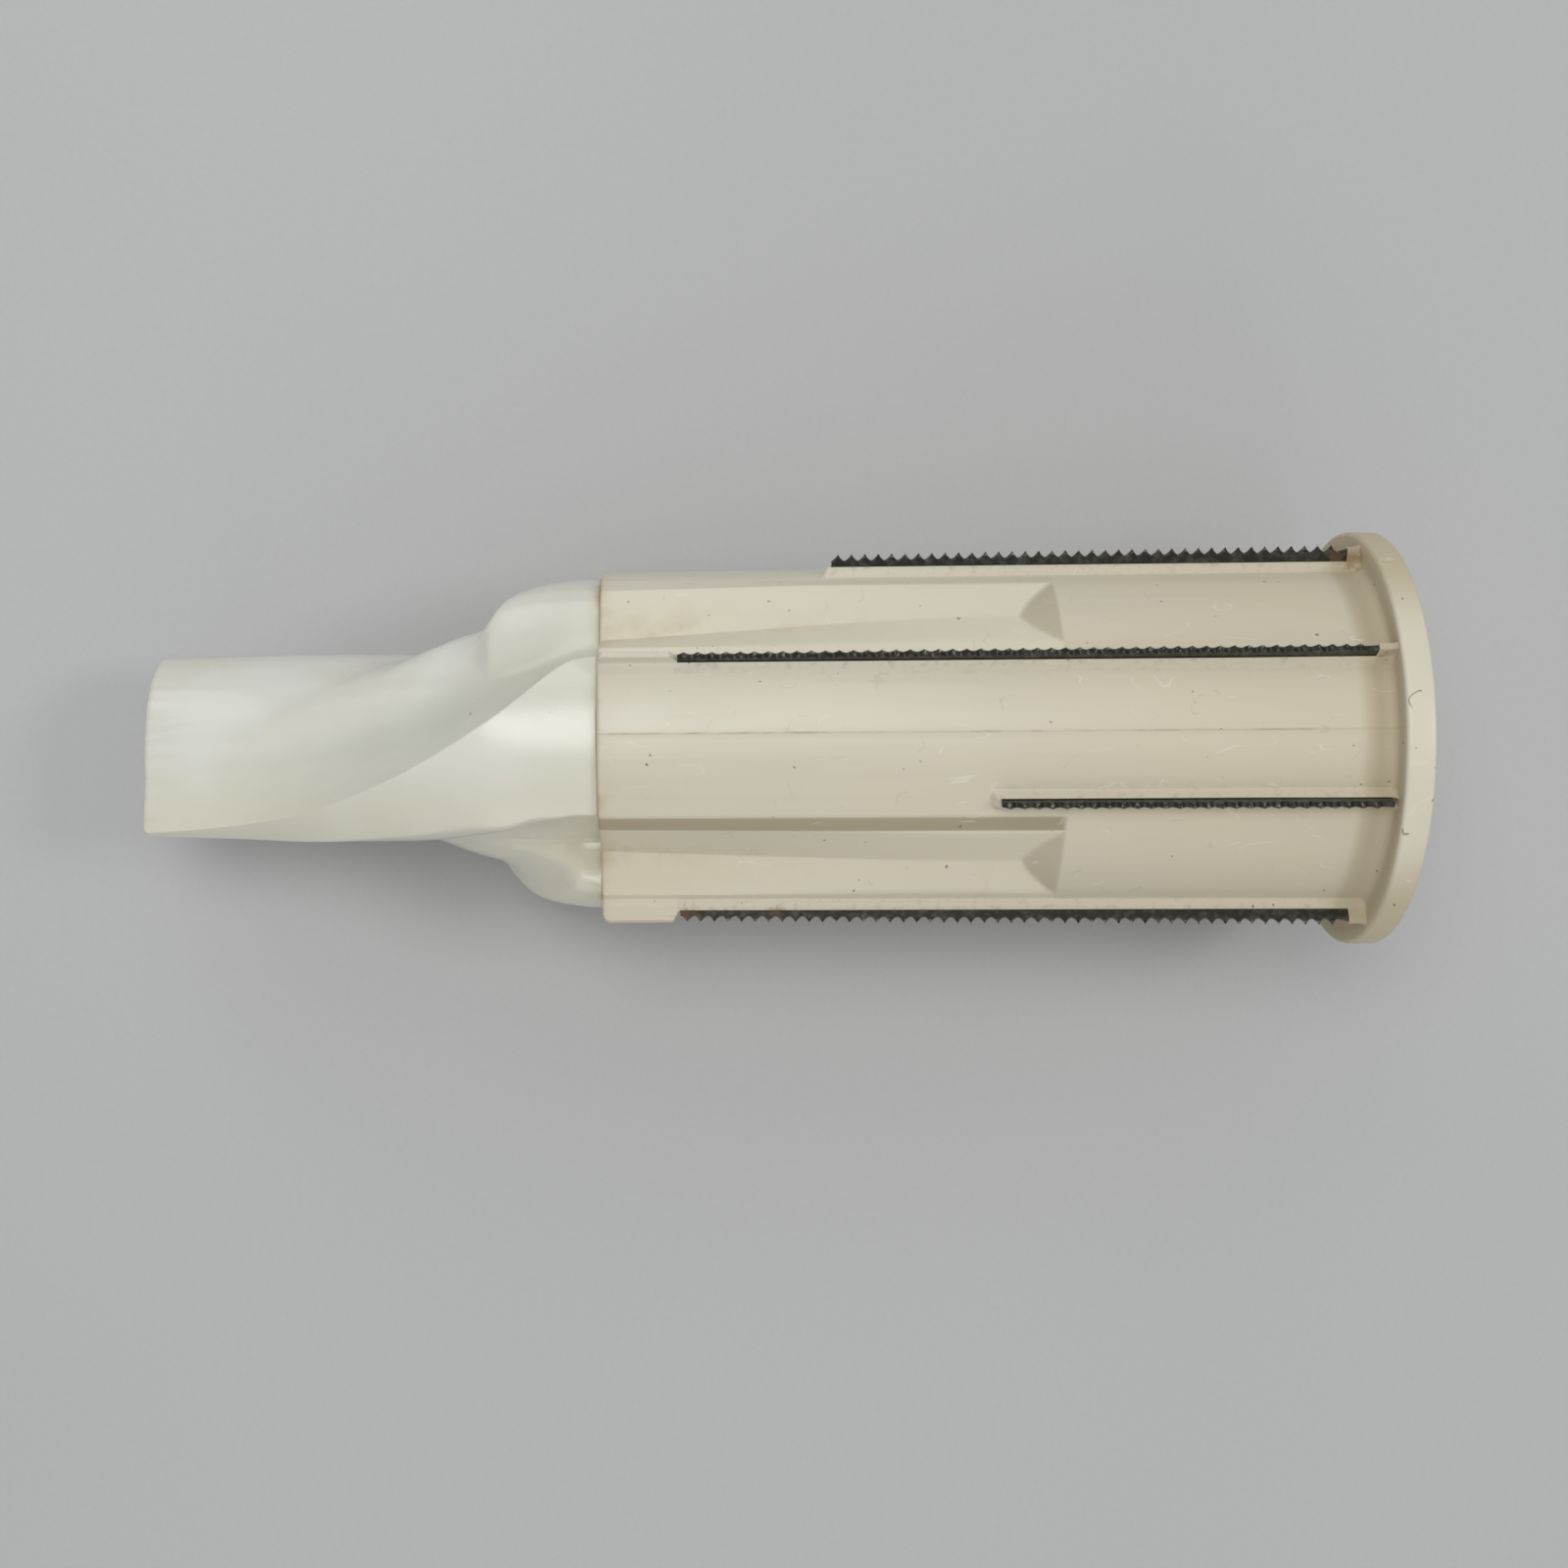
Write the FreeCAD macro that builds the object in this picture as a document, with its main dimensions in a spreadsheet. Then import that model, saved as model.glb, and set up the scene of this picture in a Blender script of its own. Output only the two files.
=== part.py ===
import FreeCAD
import Part
import Sketcher
import math
import os

# Juicer cutter: a twisted two-start auger nose whose core carries a fluted drum, and
# eight toothed steel strips moulded into the drum. The whole cutter turns as one piece.
#
# Frame: millimetres, +Z up. The rotor axis is X. The origin is the centre of the shaft
# bore's mouth on the rear face of the flange, and the nose points along -X.
# An angle around the axis is counted from +Z towards +Y.

Vector = FreeCAD.Vector
X_AXIS = Vector(1, 0, 0)
Y_AXIS = Vector(0, 1, 0)
HALF_TURN = 180.0
FULL_TURN = 360.0
ORIGIN_POINT = (-1, 1)

SIZES = {
    # flange and drum
    "flange_radius": 31.75,
    "flange_thickness": 4.25,
    "flange_edge": 0.6,
    "drum_length": 113.5,
    "drum_front_radius": 26.1,
    "drum_rear_radius": 27.1,
    "drum_front_edge": 0.5,
    "drum_root_fillet": 1.3,
    # core, keys and shaft bore
    "core_radius": 15.0,
    "core_clearance": 0.05,
    "key_width": 5.0,
    "key_height": 1.8,
    "key_count": 4,
    "bore_radius": 8.0,
    "bore_depth": 95.0,
    "drive_slot_width": 5.0,
    "drive_slot_depth": 2.4,
    # toothed strips
    "blade_phase": 24.2,
    "medium_turn": 45.0,
    "short_turn": -43.7,
    "blade_thickness": 0.9,
    "blade_height": 6.4,
    "blade_taper": 0.9,
    "blade_tip_radius": 29.05,
    "long_setback": 11.4,
    "medium_setback": 34.2,
    "short_setback": 57.1,
    "long_rear_gap": 2.6,
    "medium_rear_gap": 1.9,
    "short_rear_gap": 0.8,
    "tooth_pitch": 2.0,
    "gullet_radius": 0.95,
    # ridges under the strips, and the ribs ahead of the long ones
    "ridge_width": 1.9,
    "ridge_front_radius": 27.55,
    "ridge_rear_radius": 28.4,
    "ridge_lead": 1.4,
    "ridge_floor_radius": 20.0,
    "rib_width": 0.96,
    "rib_radius": 29.0,
    "rib_corner": 1.2,
    "rear_rib_radius": 30.4,
    # flutes
    "flute_near_angle": 3.2,
    "flute_far_angle": 39.0,
    "flute_floor_front_angle": 17.2,
    "flute_floor_rear_angle": 20.4,
    "flute_floor_front_radius": 21.2,
    "flute_floor_rear_radius": 25.5,
    "flute_near_rise": 0.6,
    "flute_open_radius": 33.0,
    "flute_length": 61.2,
    "flute_ramp": 5.6,
    # auger nose
    "nose_length": 68.6,
    "land_start_angle": 60.0,
    "land_end_angle": 118.0,
    "land_length": 9.5,
    "land_ramp": 5.5,
    "land_foot_radius": 17.0,
}

# Sections of the auger nose, from the seam to the tip: distance ahead of the seam as a
# share of the nose, angle and radius of the ridge, then the radius of the hollow behind
# the ridge, of the waist half way round, and of the back that swells to the next ridge,
# with the angle of that back from the ridge.
NOSE_SECTION_SIZES = ("share", "turn", "ridge", "hollow", "waist", "back", "back_angle")
NOSE_SECTIONS = {
    "root": (0.0, 28.5, 25.1, 18.4, 17.4, 24.9, 130.0),
    "neck": (0.22, 10.0, 24.2, 17.2, 16.5, 23.2, 142.0),
    "throat": (0.47, -18.0, 20.5, 11.3, 13.2, 19.4, 152.0),
    "paddle": (0.74, -46.5, 16.1, 7.5, 9.4, 15.0, 158.0),
    "tip": (1.0, -65.5, 14.5, 6.6, 5.6, 12.0, 162.0),
}
HOLLOW_ANGLE = 29.0
WAIST_ANGLE = 85.0

doc = FreeCAD.newDocument("juicer_cutter")
sheet = doc.addObject("Spreadsheet::Sheet", "Sizes")


def all_sizes():
    """The driving sizes, then each nose section's own, as pairs of name and number."""
    sizes = list(SIZES.items())
    for section, values in NOSE_SECTIONS.items():
        sizes += [(f"{section}_{name}", value) for name, value in zip(NOSE_SECTION_SIZES, values)]
    return sizes


for row, (name, value) in enumerate(all_sizes(), start=1):
    sheet.set(f"A{row}", name)
    sheet.set(f"B{row}", str(value))
    sheet.setAlias(f"B{row}", name)
doc.recompute()


def size(name):
    """The number in a named cell."""
    return float(sheet.get(name))


# Places and lengths that several pieces share, written as expressions of the sheet.
SEAM = "(-Sizes.flange_thickness - Sizes.drum_length)"
FLANGE_FRONT = "(-Sizes.flange_thickness)"
RIDGE_SLOPE = "((Sizes.ridge_rear_radius - Sizes.ridge_front_radius) / Sizes.drum_length)"
DRUM_BORE = "(Sizes.core_radius + Sizes.core_clearance)"


def blade_front(kind):
    """X of a strip's front end, which stands back from the seam."""
    return f"({SEAM} + Sizes.{kind}_setback)"


def blade_end(kind):
    """X of a strip's rear end, which stops short of the flange."""
    return f"({FLANGE_FRONT} - Sizes.{kind}_rear_gap)"


def tip_radius(kind):
    """Radius of the tooth tips at a strip's front end."""
    return f"(Sizes.blade_tip_radius + Sizes.{kind}_setback * tan(Sizes.blade_taper))"


def blade_length(kind):
    """Length of a strip along its own edge."""
    return f"(({blade_end(kind)} - {blade_front(kind)}) / cos(Sizes.blade_taper))"


def ridge_radius(place):
    """Radius of the top of a ridge at an X that is given as an expression."""
    return f"(Sizes.ridge_front_radius + ({place} - {SEAM}) * {RIDGE_SLOPE})"


def polar(radius, angle):
    """A point of a cross-section, with the angle counted from +Z towards +Y."""
    return (f"{radius} * sin({angle})", f"{radius} * cos({angle})")


def origin_feature(body, role):
    """A body's own origin plane or axis."""
    return next(item for item in body.Origin.OriginFeatures if item.Role == role)


def new_body(label):
    body = doc.addObject("PartDesign::Body", label)
    body.Label = label
    return body


def new_sketch(body, plane, name, turn=0.0):
    """A sketch on an origin plane, turned about the plane's own x direction."""
    sketch = body.newObject("Sketcher::SketchObject", name)
    sketch.AttachmentSupport = (origin_feature(body, plane), [""])
    sketch.MapMode = "FlatFace"
    sketch.AttachmentOffset = FreeCAD.Placement(Vector(), FreeCAD.Rotation(X_AXIS, turn))
    return sketch


def bind_point(sketch, geometry, point, corner):
    """Ties one point of a sketch to a pair of expressions, measured from its origin."""
    for kind, expression in zip(("DistanceX", "DistanceY"), corner):
        index = sketch.addConstraint(Sketcher.Constraint(kind, *ORIGIN_POINT, geometry, point, 1.0))
        sketch.setExpression(f"Constraints[{index}]", expression)


def draw_polygon(sketch, corners):
    """A closed outline whose corners are pairs of expressions."""
    count = len(corners)
    angles = [2 * math.pi * index / count for index in range(count)]
    rough = [Vector(30 * math.cos(angle), 30 * math.sin(angle), 0) for angle in angles]
    for index in range(count):
        sketch.addGeometry(Part.LineSegment(rough[index], rough[(index + 1) % count]), False)
    for index in range(count):
        sketch.addConstraint(Sketcher.Constraint("Coincident", index, 2, (index + 1) % count, 1))
        bind_point(sketch, index, 1, corners[index])


def add_profile(body, kind, name, sketch, width=None):
    """A pad or pocket of a sketch, half to each side of its plane. With no width it goes
    right through."""
    feature = body.newObject(f"PartDesign::{kind}", name)
    feature.Profile = sketch
    feature.SideType = "Symmetric"
    if width is None:
        feature.Type = "ThroughAll"
    else:
        feature.setExpression("Length", width)
    return feature


def repeat_around(body, name, features, count):
    """Repeats features evenly around the rotor axis."""
    pattern = body.newObject("PartDesign::PolarPattern", name)
    pattern.Originals = features
    pattern.Axis = (origin_feature(body, "X_Axis"), [""])
    pattern.Angle = FULL_TURN
    pattern.setExpression("Occurrences", str(count))
    body.Tip = pattern
    return pattern


# The strips: name, how many, and where the first one stands from the first long one.
BLADE_SETS = (
    ("long", 4, 0.0),
    ("medium", 2, size("medium_turn")),
    ("short", 2, size("short_turn")),
)


def make_drum():
    """The fluted sleeve with its flange, ridges, ribs and strip slots."""
    body = new_body("cutter_drum")

    blank = new_sketch(body, "XZ_Plane", "drum_outline")
    draw_polygon(blank, [
        (SEAM, DRUM_BORE),
        (SEAM, "Sizes.drum_front_radius - Sizes.drum_front_edge"),
        (f"{SEAM} + Sizes.drum_front_edge", "Sizes.drum_front_radius"),
        (f"{FLANGE_FRONT} - Sizes.drum_root_fillet", "Sizes.drum_rear_radius"),
        (FLANGE_FRONT, "Sizes.drum_rear_radius + Sizes.drum_root_fillet"),
        (FLANGE_FRONT, "Sizes.flange_radius - Sizes.flange_edge"),
        (f"{FLANGE_FRONT} + Sizes.flange_edge", "Sizes.flange_radius"),
        ("-Sizes.flange_edge", "Sizes.flange_radius"),
        ("0", "Sizes.flange_radius - Sizes.flange_edge"),
        ("0", DRUM_BORE),
    ])
    turned = body.newObject("PartDesign::Revolution", "drum_blank")
    turned.Profile = blank
    turned.ReferenceAxis = (blank, ["H_Axis"])
    turned.Angle = FULL_TURN

    keyway = new_sketch(body, "XZ_Plane", "keyway_outline")
    key_top = f"{DRUM_BORE} + Sizes.key_height"
    draw_polygon(keyway, [(SEAM, "0"), ("0", "0"), ("0", key_top), (SEAM, key_top)])
    keyway_cut = add_profile(body, "Pocket", "keyway", keyway, "Sizes.key_width + 2 * Sizes.core_clearance")
    repeat_around(body, "keyways", [keyway_cut], "Sizes.key_count")

    flute_end = f"({SEAM} + Sizes.flute_length)"
    ramp_end = f"({flute_end} + Sizes.flute_ramp)"
    ramp_top = "(Sizes.drum_front_radius + Sizes.flute_near_rise)"
    front_angle = "Sizes.flute_floor_front_angle"
    rear_angle = "Sizes.flute_floor_rear_angle"
    stations = (
        ("front", SEAM, "Sizes.flute_floor_front_radius", front_angle, "Sizes.drum_front_radius"),
        ("rear", flute_end, "Sizes.flute_floor_rear_radius", rear_angle, "Sizes.drum_rear_radius"),
        ("ramp", ramp_end, ramp_top, rear_angle, "Sizes.drum_rear_radius"),
    )
    sections = []
    for name, place, floor_radius, floor_angle, surface in stations:
        section = new_sketch(body, "YZ_Plane", f"flute_{name}")
        section.setExpression("AttachmentOffset.Base.z", place)
        draw_polygon(section, [
            polar(floor_radius, floor_angle),
            polar(f"({surface} + Sizes.flute_near_rise)", "Sizes.flute_near_angle"),
            polar("Sizes.flute_open_radius", "Sizes.flute_near_angle"),
            polar("Sizes.flute_open_radius", "Sizes.flute_far_angle"),
            polar(surface, "Sizes.flute_far_angle"),
        ])
        sections.append(section)
    doc.recompute()
    flute = body.newObject("PartDesign::SubtractiveLoft", "flute")
    flute.Profile = sections[0]
    flute.Sections = sections[1:]
    flute.Ruled = True
    doc.recompute()
    repeat_around(body, "flutes", [flute], 4)

    floor = "Sizes.ridge_floor_radius"
    for name, count, turn in BLADE_SETS:
        front = SEAM if name == "long" else f"({blade_front(name)} - Sizes.ridge_lead)"
        ridge = new_sketch(body, "XZ_Plane", f"ridge_{name}_outline", -turn)
        draw_polygon(ridge, [
            (front, floor),
            (FLANGE_FRONT, floor),
            (FLANGE_FRONT, "Sizes.ridge_rear_radius"),
            (front, ridge_radius(front)),
        ])
        ridge_pad = add_profile(body, "Pad", f"ridge_{name}", ridge, "Sizes.ridge_width")
        repeat_around(body, f"ridges_{name}", [ridge_pad], count)

    rib = new_sketch(body, "XZ_Plane", "rib_outline")
    rib_end = blade_front("long")
    draw_polygon(rib, [
        (SEAM, floor),
        (rib_end, floor),
        (rib_end, ridge_radius(rib_end)),
        (f"{rib_end} - Sizes.rib_corner", "Sizes.rib_radius"),
        (f"{SEAM} + Sizes.rib_corner", "Sizes.rib_radius"),
        (SEAM, "Sizes.rib_radius - Sizes.rib_corner"),
    ])
    rib_pad = add_profile(body, "Pad", "rib", rib, "Sizes.rib_width")
    repeat_around(body, "ribs", [rib_pad], 4)

    for name, count, turn in BLADE_SETS:
        stop = new_sketch(body, "XZ_Plane", f"rear_rib_{name}_outline", -turn)
        draw_polygon(stop, [
            (blade_end(name), floor),
            (FLANGE_FRONT, floor),
            (FLANGE_FRONT, "Sizes.rear_rib_radius"),
            (blade_end(name), "Sizes.rear_rib_radius"),
        ])
        stop_pad = add_profile(body, "Pad", f"rear_rib_{name}", stop, "Sizes.rib_width")
        repeat_around(body, f"rear_ribs_{name}", [stop_pad], count)

    for name, count, turn in BLADE_SETS:
        slot = new_sketch(body, "XZ_Plane", f"slot_{name}_outline", -turn)
        front = (blade_front(name), tip_radius(name))
        length = blade_length(name)
        along = (f"{length} * cos(Sizes.blade_taper)", f"{length} * sin(Sizes.blade_taper)")
        down = ("Sizes.blade_height * sin(Sizes.blade_taper)", "-Sizes.blade_height * cos(Sizes.blade_taper)")
        draw_polygon(slot, [
            front,
            (f"{front[0]} + {along[0]}", f"{front[1]} + {along[1]}"),
            (
                f"{front[0]} + {along[0]} + {down[0]}",
                f"{front[1]} + {along[1]} + {down[1]}",
            ),
            (f"{front[0]} + {down[0]}", f"{front[1]} + {down[1]}"),
        ])
        slot_cut = add_profile(body, "Pocket", f"slot_{name}", slot, "Sizes.blade_thickness")
        repeat_around(body, f"slots_{name}", [slot_cut], count)
    body.Placement = FreeCAD.Placement(Vector(), FreeCAD.Rotation(X_AXIS, -size("blade_phase")))
    return body


def make_blade(label, kind, angle):
    """A flat strip with a row of round gullets, whose cusps are the teeth. The first
    gullet is centred on the strip's front end.

    The strip is drawn with its toothed edge on its own X axis, then tilted by the taper
    and turned to its place around the rotor."""
    body = new_body(label)
    length = blade_length(kind)
    strip = new_sketch(body, "XZ_Plane", "strip_outline")
    draw_polygon(strip, [
        ("0", "0"),
        ("0", "-Sizes.blade_height"),
        (length, "-Sizes.blade_height"),
        (length, "0"),
    ])
    add_profile(body, "Pad", "strip", strip, "Sizes.blade_thickness")

    gullet = new_sketch(body, "XZ_Plane", "gullet_outline")
    gullet.addGeometry(Part.Circle(Vector(), Vector(0, 0, 1), 1.0), False)
    bind_point(gullet, 0, 3, ("0", "0"))
    radius = gullet.addConstraint(Sketcher.Constraint("Radius", 0, 1.0))
    gullet.setExpression(f"Constraints[{radius}]", "Sizes.gullet_radius")
    gullet_cut = add_profile(body, "Pocket", "gullet", gullet)
    doc.recompute()

    teeth = body.newObject("PartDesign::LinearPattern", "teeth")
    teeth.Originals = [gullet_cut]
    teeth.Direction = (origin_feature(body, "X_Axis"), [""])
    teeth.Mode = "Spacing"
    teeth.setExpression("Offset", "Sizes.tooth_pitch")
    teeth.setExpression("Occurrences", f"floor({length} / Sizes.tooth_pitch) + 1")
    body.Tip = teeth

    seam = -size("flange_thickness") - size("drum_length")
    rise = math.tan(math.radians(size("blade_taper")))
    setback = size(f"{kind}_setback")
    front = Vector(seam + setback, 0, size("blade_tip_radius") + setback * rise)
    tilt = FreeCAD.Placement(front, FreeCAD.Rotation(Y_AXIS, -size("blade_taper")))
    turn = FreeCAD.Placement(Vector(), FreeCAD.Rotation(X_AXIS, -angle - size("blade_phase")))
    body.Placement = turn * tilt
    return body


def nose_section(section, seam):
    """Closed outline of the auger: from each ridge one curve runs over the hollow, the
    waist and the back to the other ridge, and the second half is the first turned round."""
    place = seam - size("nose_length") * size(f"{section}_share")
    knots = (
        (0.0, "ridge"),
        (HOLLOW_ANGLE, "hollow"),
        (WAIST_ANGLE, "waist"),
        (size(f"{section}_back_angle"), "back"),
        (HALF_TURN, "ridge"),
    )
    halves = []
    for start in (0.0, HALF_TURN):
        points = []
        for angle, name in knots:
            direction = math.radians(size(f"{section}_turn") + start + angle)
            radius = size(f"{section}_{name}")
            points.append(Vector(place, radius * math.sin(direction), radius * math.cos(direction)))
        curve = Part.BSplineCurve()
        curve.interpolate(Points=points)
        halves.append(curve.toShape())
    return Part.Wire(halves)


def make_nose():
    """The twisted nose with its two shoulder lands, and the keyed core behind it that
    runs through the drum and holds the shaft bore."""
    seam = -size("flange_thickness") - size("drum_length")
    auger = doc.addObject("Part::Feature", "auger")
    auger.Shape = Part.makeLoft([nose_section(section, seam) for section in NOSE_SECTIONS], True, False)
    pieces = [auger]

    for index in range(2):
        start = size("land_end_angle") + index * HALF_TURN
        for name, kind in (("land", "Part::Cylinder"), ("land_front", "Part::Cone")):
            land = doc.addObject(kind, f"{name}_{index + 1}")
            land.setExpression("Angle", "Sizes.land_end_angle - Sizes.land_start_angle")
            land.setExpression("Height", "Sizes.land_length" if name == "land" else "Sizes.land_ramp")
            if name == "land":
                land.setExpression("Radius", "Sizes.root_ridge")
            else:
                land.setExpression("Radius1", "Sizes.land_foot_radius")
                land.setExpression("Radius2", "Sizes.root_ridge")
            reach = size("land_length")
            if name == "land_front":
                reach += size("land_ramp")
            turn = FreeCAD.Rotation(X_AXIS, -start) * FreeCAD.Rotation(Y_AXIS, 90)
            base = Vector(seam - reach, 0, 0)
            spin = FreeCAD.Rotation(Vector(0, 0, 1), HALF_TURN)
            land.Placement = FreeCAD.Placement(base, turn * spin)
            pieces.append(land)

    core = doc.addObject("Part::Cylinder", "core")
    core.setExpression("Radius", "Sizes.core_radius")
    core.setExpression("Height", "Sizes.flange_thickness + Sizes.drum_length")
    core.Placement = FreeCAD.Placement(Vector(seam, 0, 0), FreeCAD.Rotation(Y_AXIS, 90))
    pieces.append(core)

    for index in range(int(size("key_count"))):
        key = doc.addObject("Part::Box", f"key_{index + 1}")
        key.setExpression("Length", "Sizes.flange_thickness + Sizes.drum_length")
        key.setExpression("Width", "Sizes.key_width")
        key.setExpression("Height", "Sizes.core_radius + Sizes.key_height")
        angle = -size("blade_phase") - index * FULL_TURN / size("key_count")
        turn = FreeCAD.Placement(Vector(), FreeCAD.Rotation(X_AXIS, angle))
        key.Placement = turn * FreeCAD.Placement(Vector(seam, -size("key_width") / 2, 0), FreeCAD.Rotation())
        pieces.append(key)

    solid = doc.addObject("Part::MultiFuse", "auger_and_core")
    solid.Shapes = pieces
    solid.Refine = True

    bore = doc.addObject("Part::Cylinder", "bore")
    bore.setExpression("Radius", "Sizes.bore_radius")
    bore.setExpression("Height", "Sizes.bore_depth")
    bore.Placement = FreeCAD.Placement(Vector(0, 0, 0), FreeCAD.Rotation(Y_AXIS, -90))

    drive_slot = doc.addObject("Part::Box", "drive_slot")
    drive_slot.setExpression("Length", "Sizes.bore_depth")
    drive_slot.setExpression("Width", "Sizes.drive_slot_width")
    drive_slot.setExpression("Height", "Sizes.bore_radius + Sizes.drive_slot_depth")
    drive_slot.setExpression("Placement.Base.x", "-Sizes.bore_depth")
    drive_slot.setExpression("Placement.Base.y", "-Sizes.drive_slot_width / 2")

    socket = doc.addObject("Part::MultiFuse", "shaft_socket")
    socket.Shapes = [bore, drive_slot]
    nose = doc.addObject("Part::Cut", "nose_auger")
    nose.Label = "nose_auger"
    nose.Base = solid
    nose.Tool = socket
    return nose


def check_document():
    """Stops if any object failed to compute."""
    for item in doc.Objects:
        if {"Invalid", "Error"} & set(item.State):
            raise RuntimeError(f"{item.Name} failed: {item.State}")


def write_piece(piece):
    """Writes one sub-part, after testing that its shape is whole."""
    shape = piece.Shape
    if shape.isNull() or not shape.isValid() or not shape.Solids:
        raise RuntimeError(f"{piece.Label} has no valid solid")
    shape.exportStep(f"parts/{piece.Label}.step")
    print(piece.Label, len(shape.Solids), "solid,", round(shape.Volume), "cubic mm")


pieces = [make_nose(), make_drum()]
for name, count, turn in BLADE_SETS:
    for index in range(count):
        angle = turn + index * FULL_TURN / count
        pieces.append(make_blade(f"blade_{name}_{index + 1}", name, angle))
doc.recompute()
check_document()

os.makedirs("parts", exist_ok=True)
for piece in pieces:
    write_piece(piece)
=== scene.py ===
import math

import bpy
import numpy as np
from mathutils import Matrix, Vector


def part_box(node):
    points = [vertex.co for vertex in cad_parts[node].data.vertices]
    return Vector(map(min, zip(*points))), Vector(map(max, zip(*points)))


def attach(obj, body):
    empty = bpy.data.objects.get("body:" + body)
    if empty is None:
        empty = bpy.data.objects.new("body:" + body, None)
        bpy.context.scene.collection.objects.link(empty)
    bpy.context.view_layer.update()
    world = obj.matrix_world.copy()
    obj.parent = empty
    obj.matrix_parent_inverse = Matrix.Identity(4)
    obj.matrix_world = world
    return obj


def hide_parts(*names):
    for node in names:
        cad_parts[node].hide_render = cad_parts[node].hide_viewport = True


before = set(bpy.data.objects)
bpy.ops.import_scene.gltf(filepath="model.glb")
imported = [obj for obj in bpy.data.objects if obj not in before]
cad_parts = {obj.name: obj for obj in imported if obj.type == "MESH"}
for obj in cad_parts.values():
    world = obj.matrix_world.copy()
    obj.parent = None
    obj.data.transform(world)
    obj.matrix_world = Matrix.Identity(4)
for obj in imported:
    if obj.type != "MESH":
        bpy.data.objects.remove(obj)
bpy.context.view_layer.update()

# Juicer cutter: a twisted auger nose, a fluted drum with a rear flange and eight toothed
# strips. Shapes are worked out in millimetres along the rotor axis X, then stored in
# metres. Angles run around the axis in degrees, from +Z towards +Y.

MM = 0.001
DRUM_LOW, DRUM_HIGH = (np.array(corner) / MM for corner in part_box("cutter_drum"))
NOSE_LOW = np.array(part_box("nose_auger")[0]) / MM

# Places along X, from the frame.
TIP = NOSE_LOW[0]
SEAM = DRUM_LOW[0]
REAR = DRUM_HIGH[0]
NOSE_LENGTH = SEAM - TIP
FLANGE_RADIUS = (DRUM_HIGH[1] - DRUM_LOW[1]) / 2

# Drum and flange.
FLANGE_THICKNESS = 4.25
FLANGE_FRONT = REAR - FLANGE_THICKNESS
DRUM_LENGTH = FLANGE_FRONT - SEAM
FLANGE_EDGE = 0.6
DRUM_FRONT_RADIUS = 26.1
DRUM_REAR_RADIUS = 27.1
DRUM_FRONT_EDGE = 0.5
DRUM_ROOT_FILLET = 1.3
CORE_RADIUS = 15.0
CORE_CLEARANCE = 0.05
KEY_WIDTH = 5.0
KEY_HEIGHT = 1.8
BORE_RADIUS = 8.0
BORE_DEPTH = 95.0
DRIVE_SLOT_WIDTH = 5.0
DRIVE_SLOT_DEPTH = 2.4

# Strips.
BLADE_PHASE = 24.2
BLADE_THICKNESS = 0.9
BLADE_HEIGHT = 6.4
BLADE_MIDDLE = 3.0
BLADE_TAPER = 0.9
BLADE_TIP_RADIUS = 29.05
TOOTH_PITCH = 2.0
PLACES_PER_TOOTH = 12
GULLET_DEPTH = 1.02
GULLET_POWER = 1.8
GULLET_SKEW = 0.22
TOOTH_BEVEL = 0.32
EDGE_BEVEL = 0.05
MEDIUM_TURN = 45.0
SHORT_TURN = -43.7
# Each kind of strip: its name, how many there are, and its turn from the long ones.
BLADE_SETS = (("long", 4, 0.0), ("medium", 2, MEDIUM_TURN), ("short", 2, SHORT_TURN))

# Ridges under the strips, ribs ahead of the long ones, and the slots.
RIDGE_FRONT_RADIUS = 27.55
RIDGE_REAR_RADIUS = 28.4
RIDGE_HALF_TOP = 0.5
RIDGE_HALF_FOOT = 1.6
RIDGE_LEAD = 1.5
RIDGE_LEAD_SLOPE = 1.1
RIDGE_OPEN_START = -1.0
RIB_RADIUS = 29.1
RIB_HALF_WIDTH = 0.48
RIB_CORNER = 1.2
RIB_END_SLOPE = 1.2
REAR_RIB_RADIUS = 30.4
SLOT_DEPTH = 1.2
SLOT_GAP = 0.03
# Widths over which the steep sides of ribs and slots rise, and room before a step.
RIB_WALL = 0.08
SLOT_WALL = 0.03
STEP_ROOM = 0.01
PARTING_HEIGHT = 0.05
PARTING_HALF_WIDTH = 0.22
PARTING_ANGLE = -22.5
QUARTER = 90.0
HALF_TURN = 180.0
FULL_TURN = 360.0
TINY = 1e-6


def curve(at, points):
    """A smooth curve through (place, value) points: cubic pieces whose slopes are the
    harmonic mean of the slopes on both sides, and flat where those differ in sign."""
    places = np.array([point[0] for point in points], float)
    values = np.array([point[1] for point in points], float)
    at = np.clip(np.asarray(at, float), places[0], places[-1])
    step = np.diff(places)
    slope = np.diff(values) / step
    tangent = np.zeros_like(values)
    tangent[0] = slope[0]
    tangent[-1] = slope[-1]
    agree = slope[:-1] * slope[1:] > 0
    safe_before = np.where(agree, slope[:-1], 1.0)
    safe_after = np.where(agree, slope[1:], 1.0)
    tangent[1:-1] = np.where(agree, 2 / (1 / safe_before + 1 / safe_after), 0.0)
    piece = np.clip(np.searchsorted(places, at, side="right") - 1, 0, len(step) - 1)
    share = (at - places[piece]) / step[piece]
    left = (1 + 2 * share) * (1 - share) ** 2 * values[piece]
    left_slope = share * (1 - share) ** 2 * step[piece] * tangent[piece]
    right = share**2 * (3 - 2 * share) * values[piece + 1]
    right_slope = share**2 * (share - 1) * step[piece] * tangent[piece + 1]
    return left + left_slope + right + right_slope


def ease(value):
    """0 below 0, 1 above 1, and a smooth S between."""
    value = np.clip(value, 0.0, 1.0)
    return value * value * (3 - 2 * value)


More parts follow.
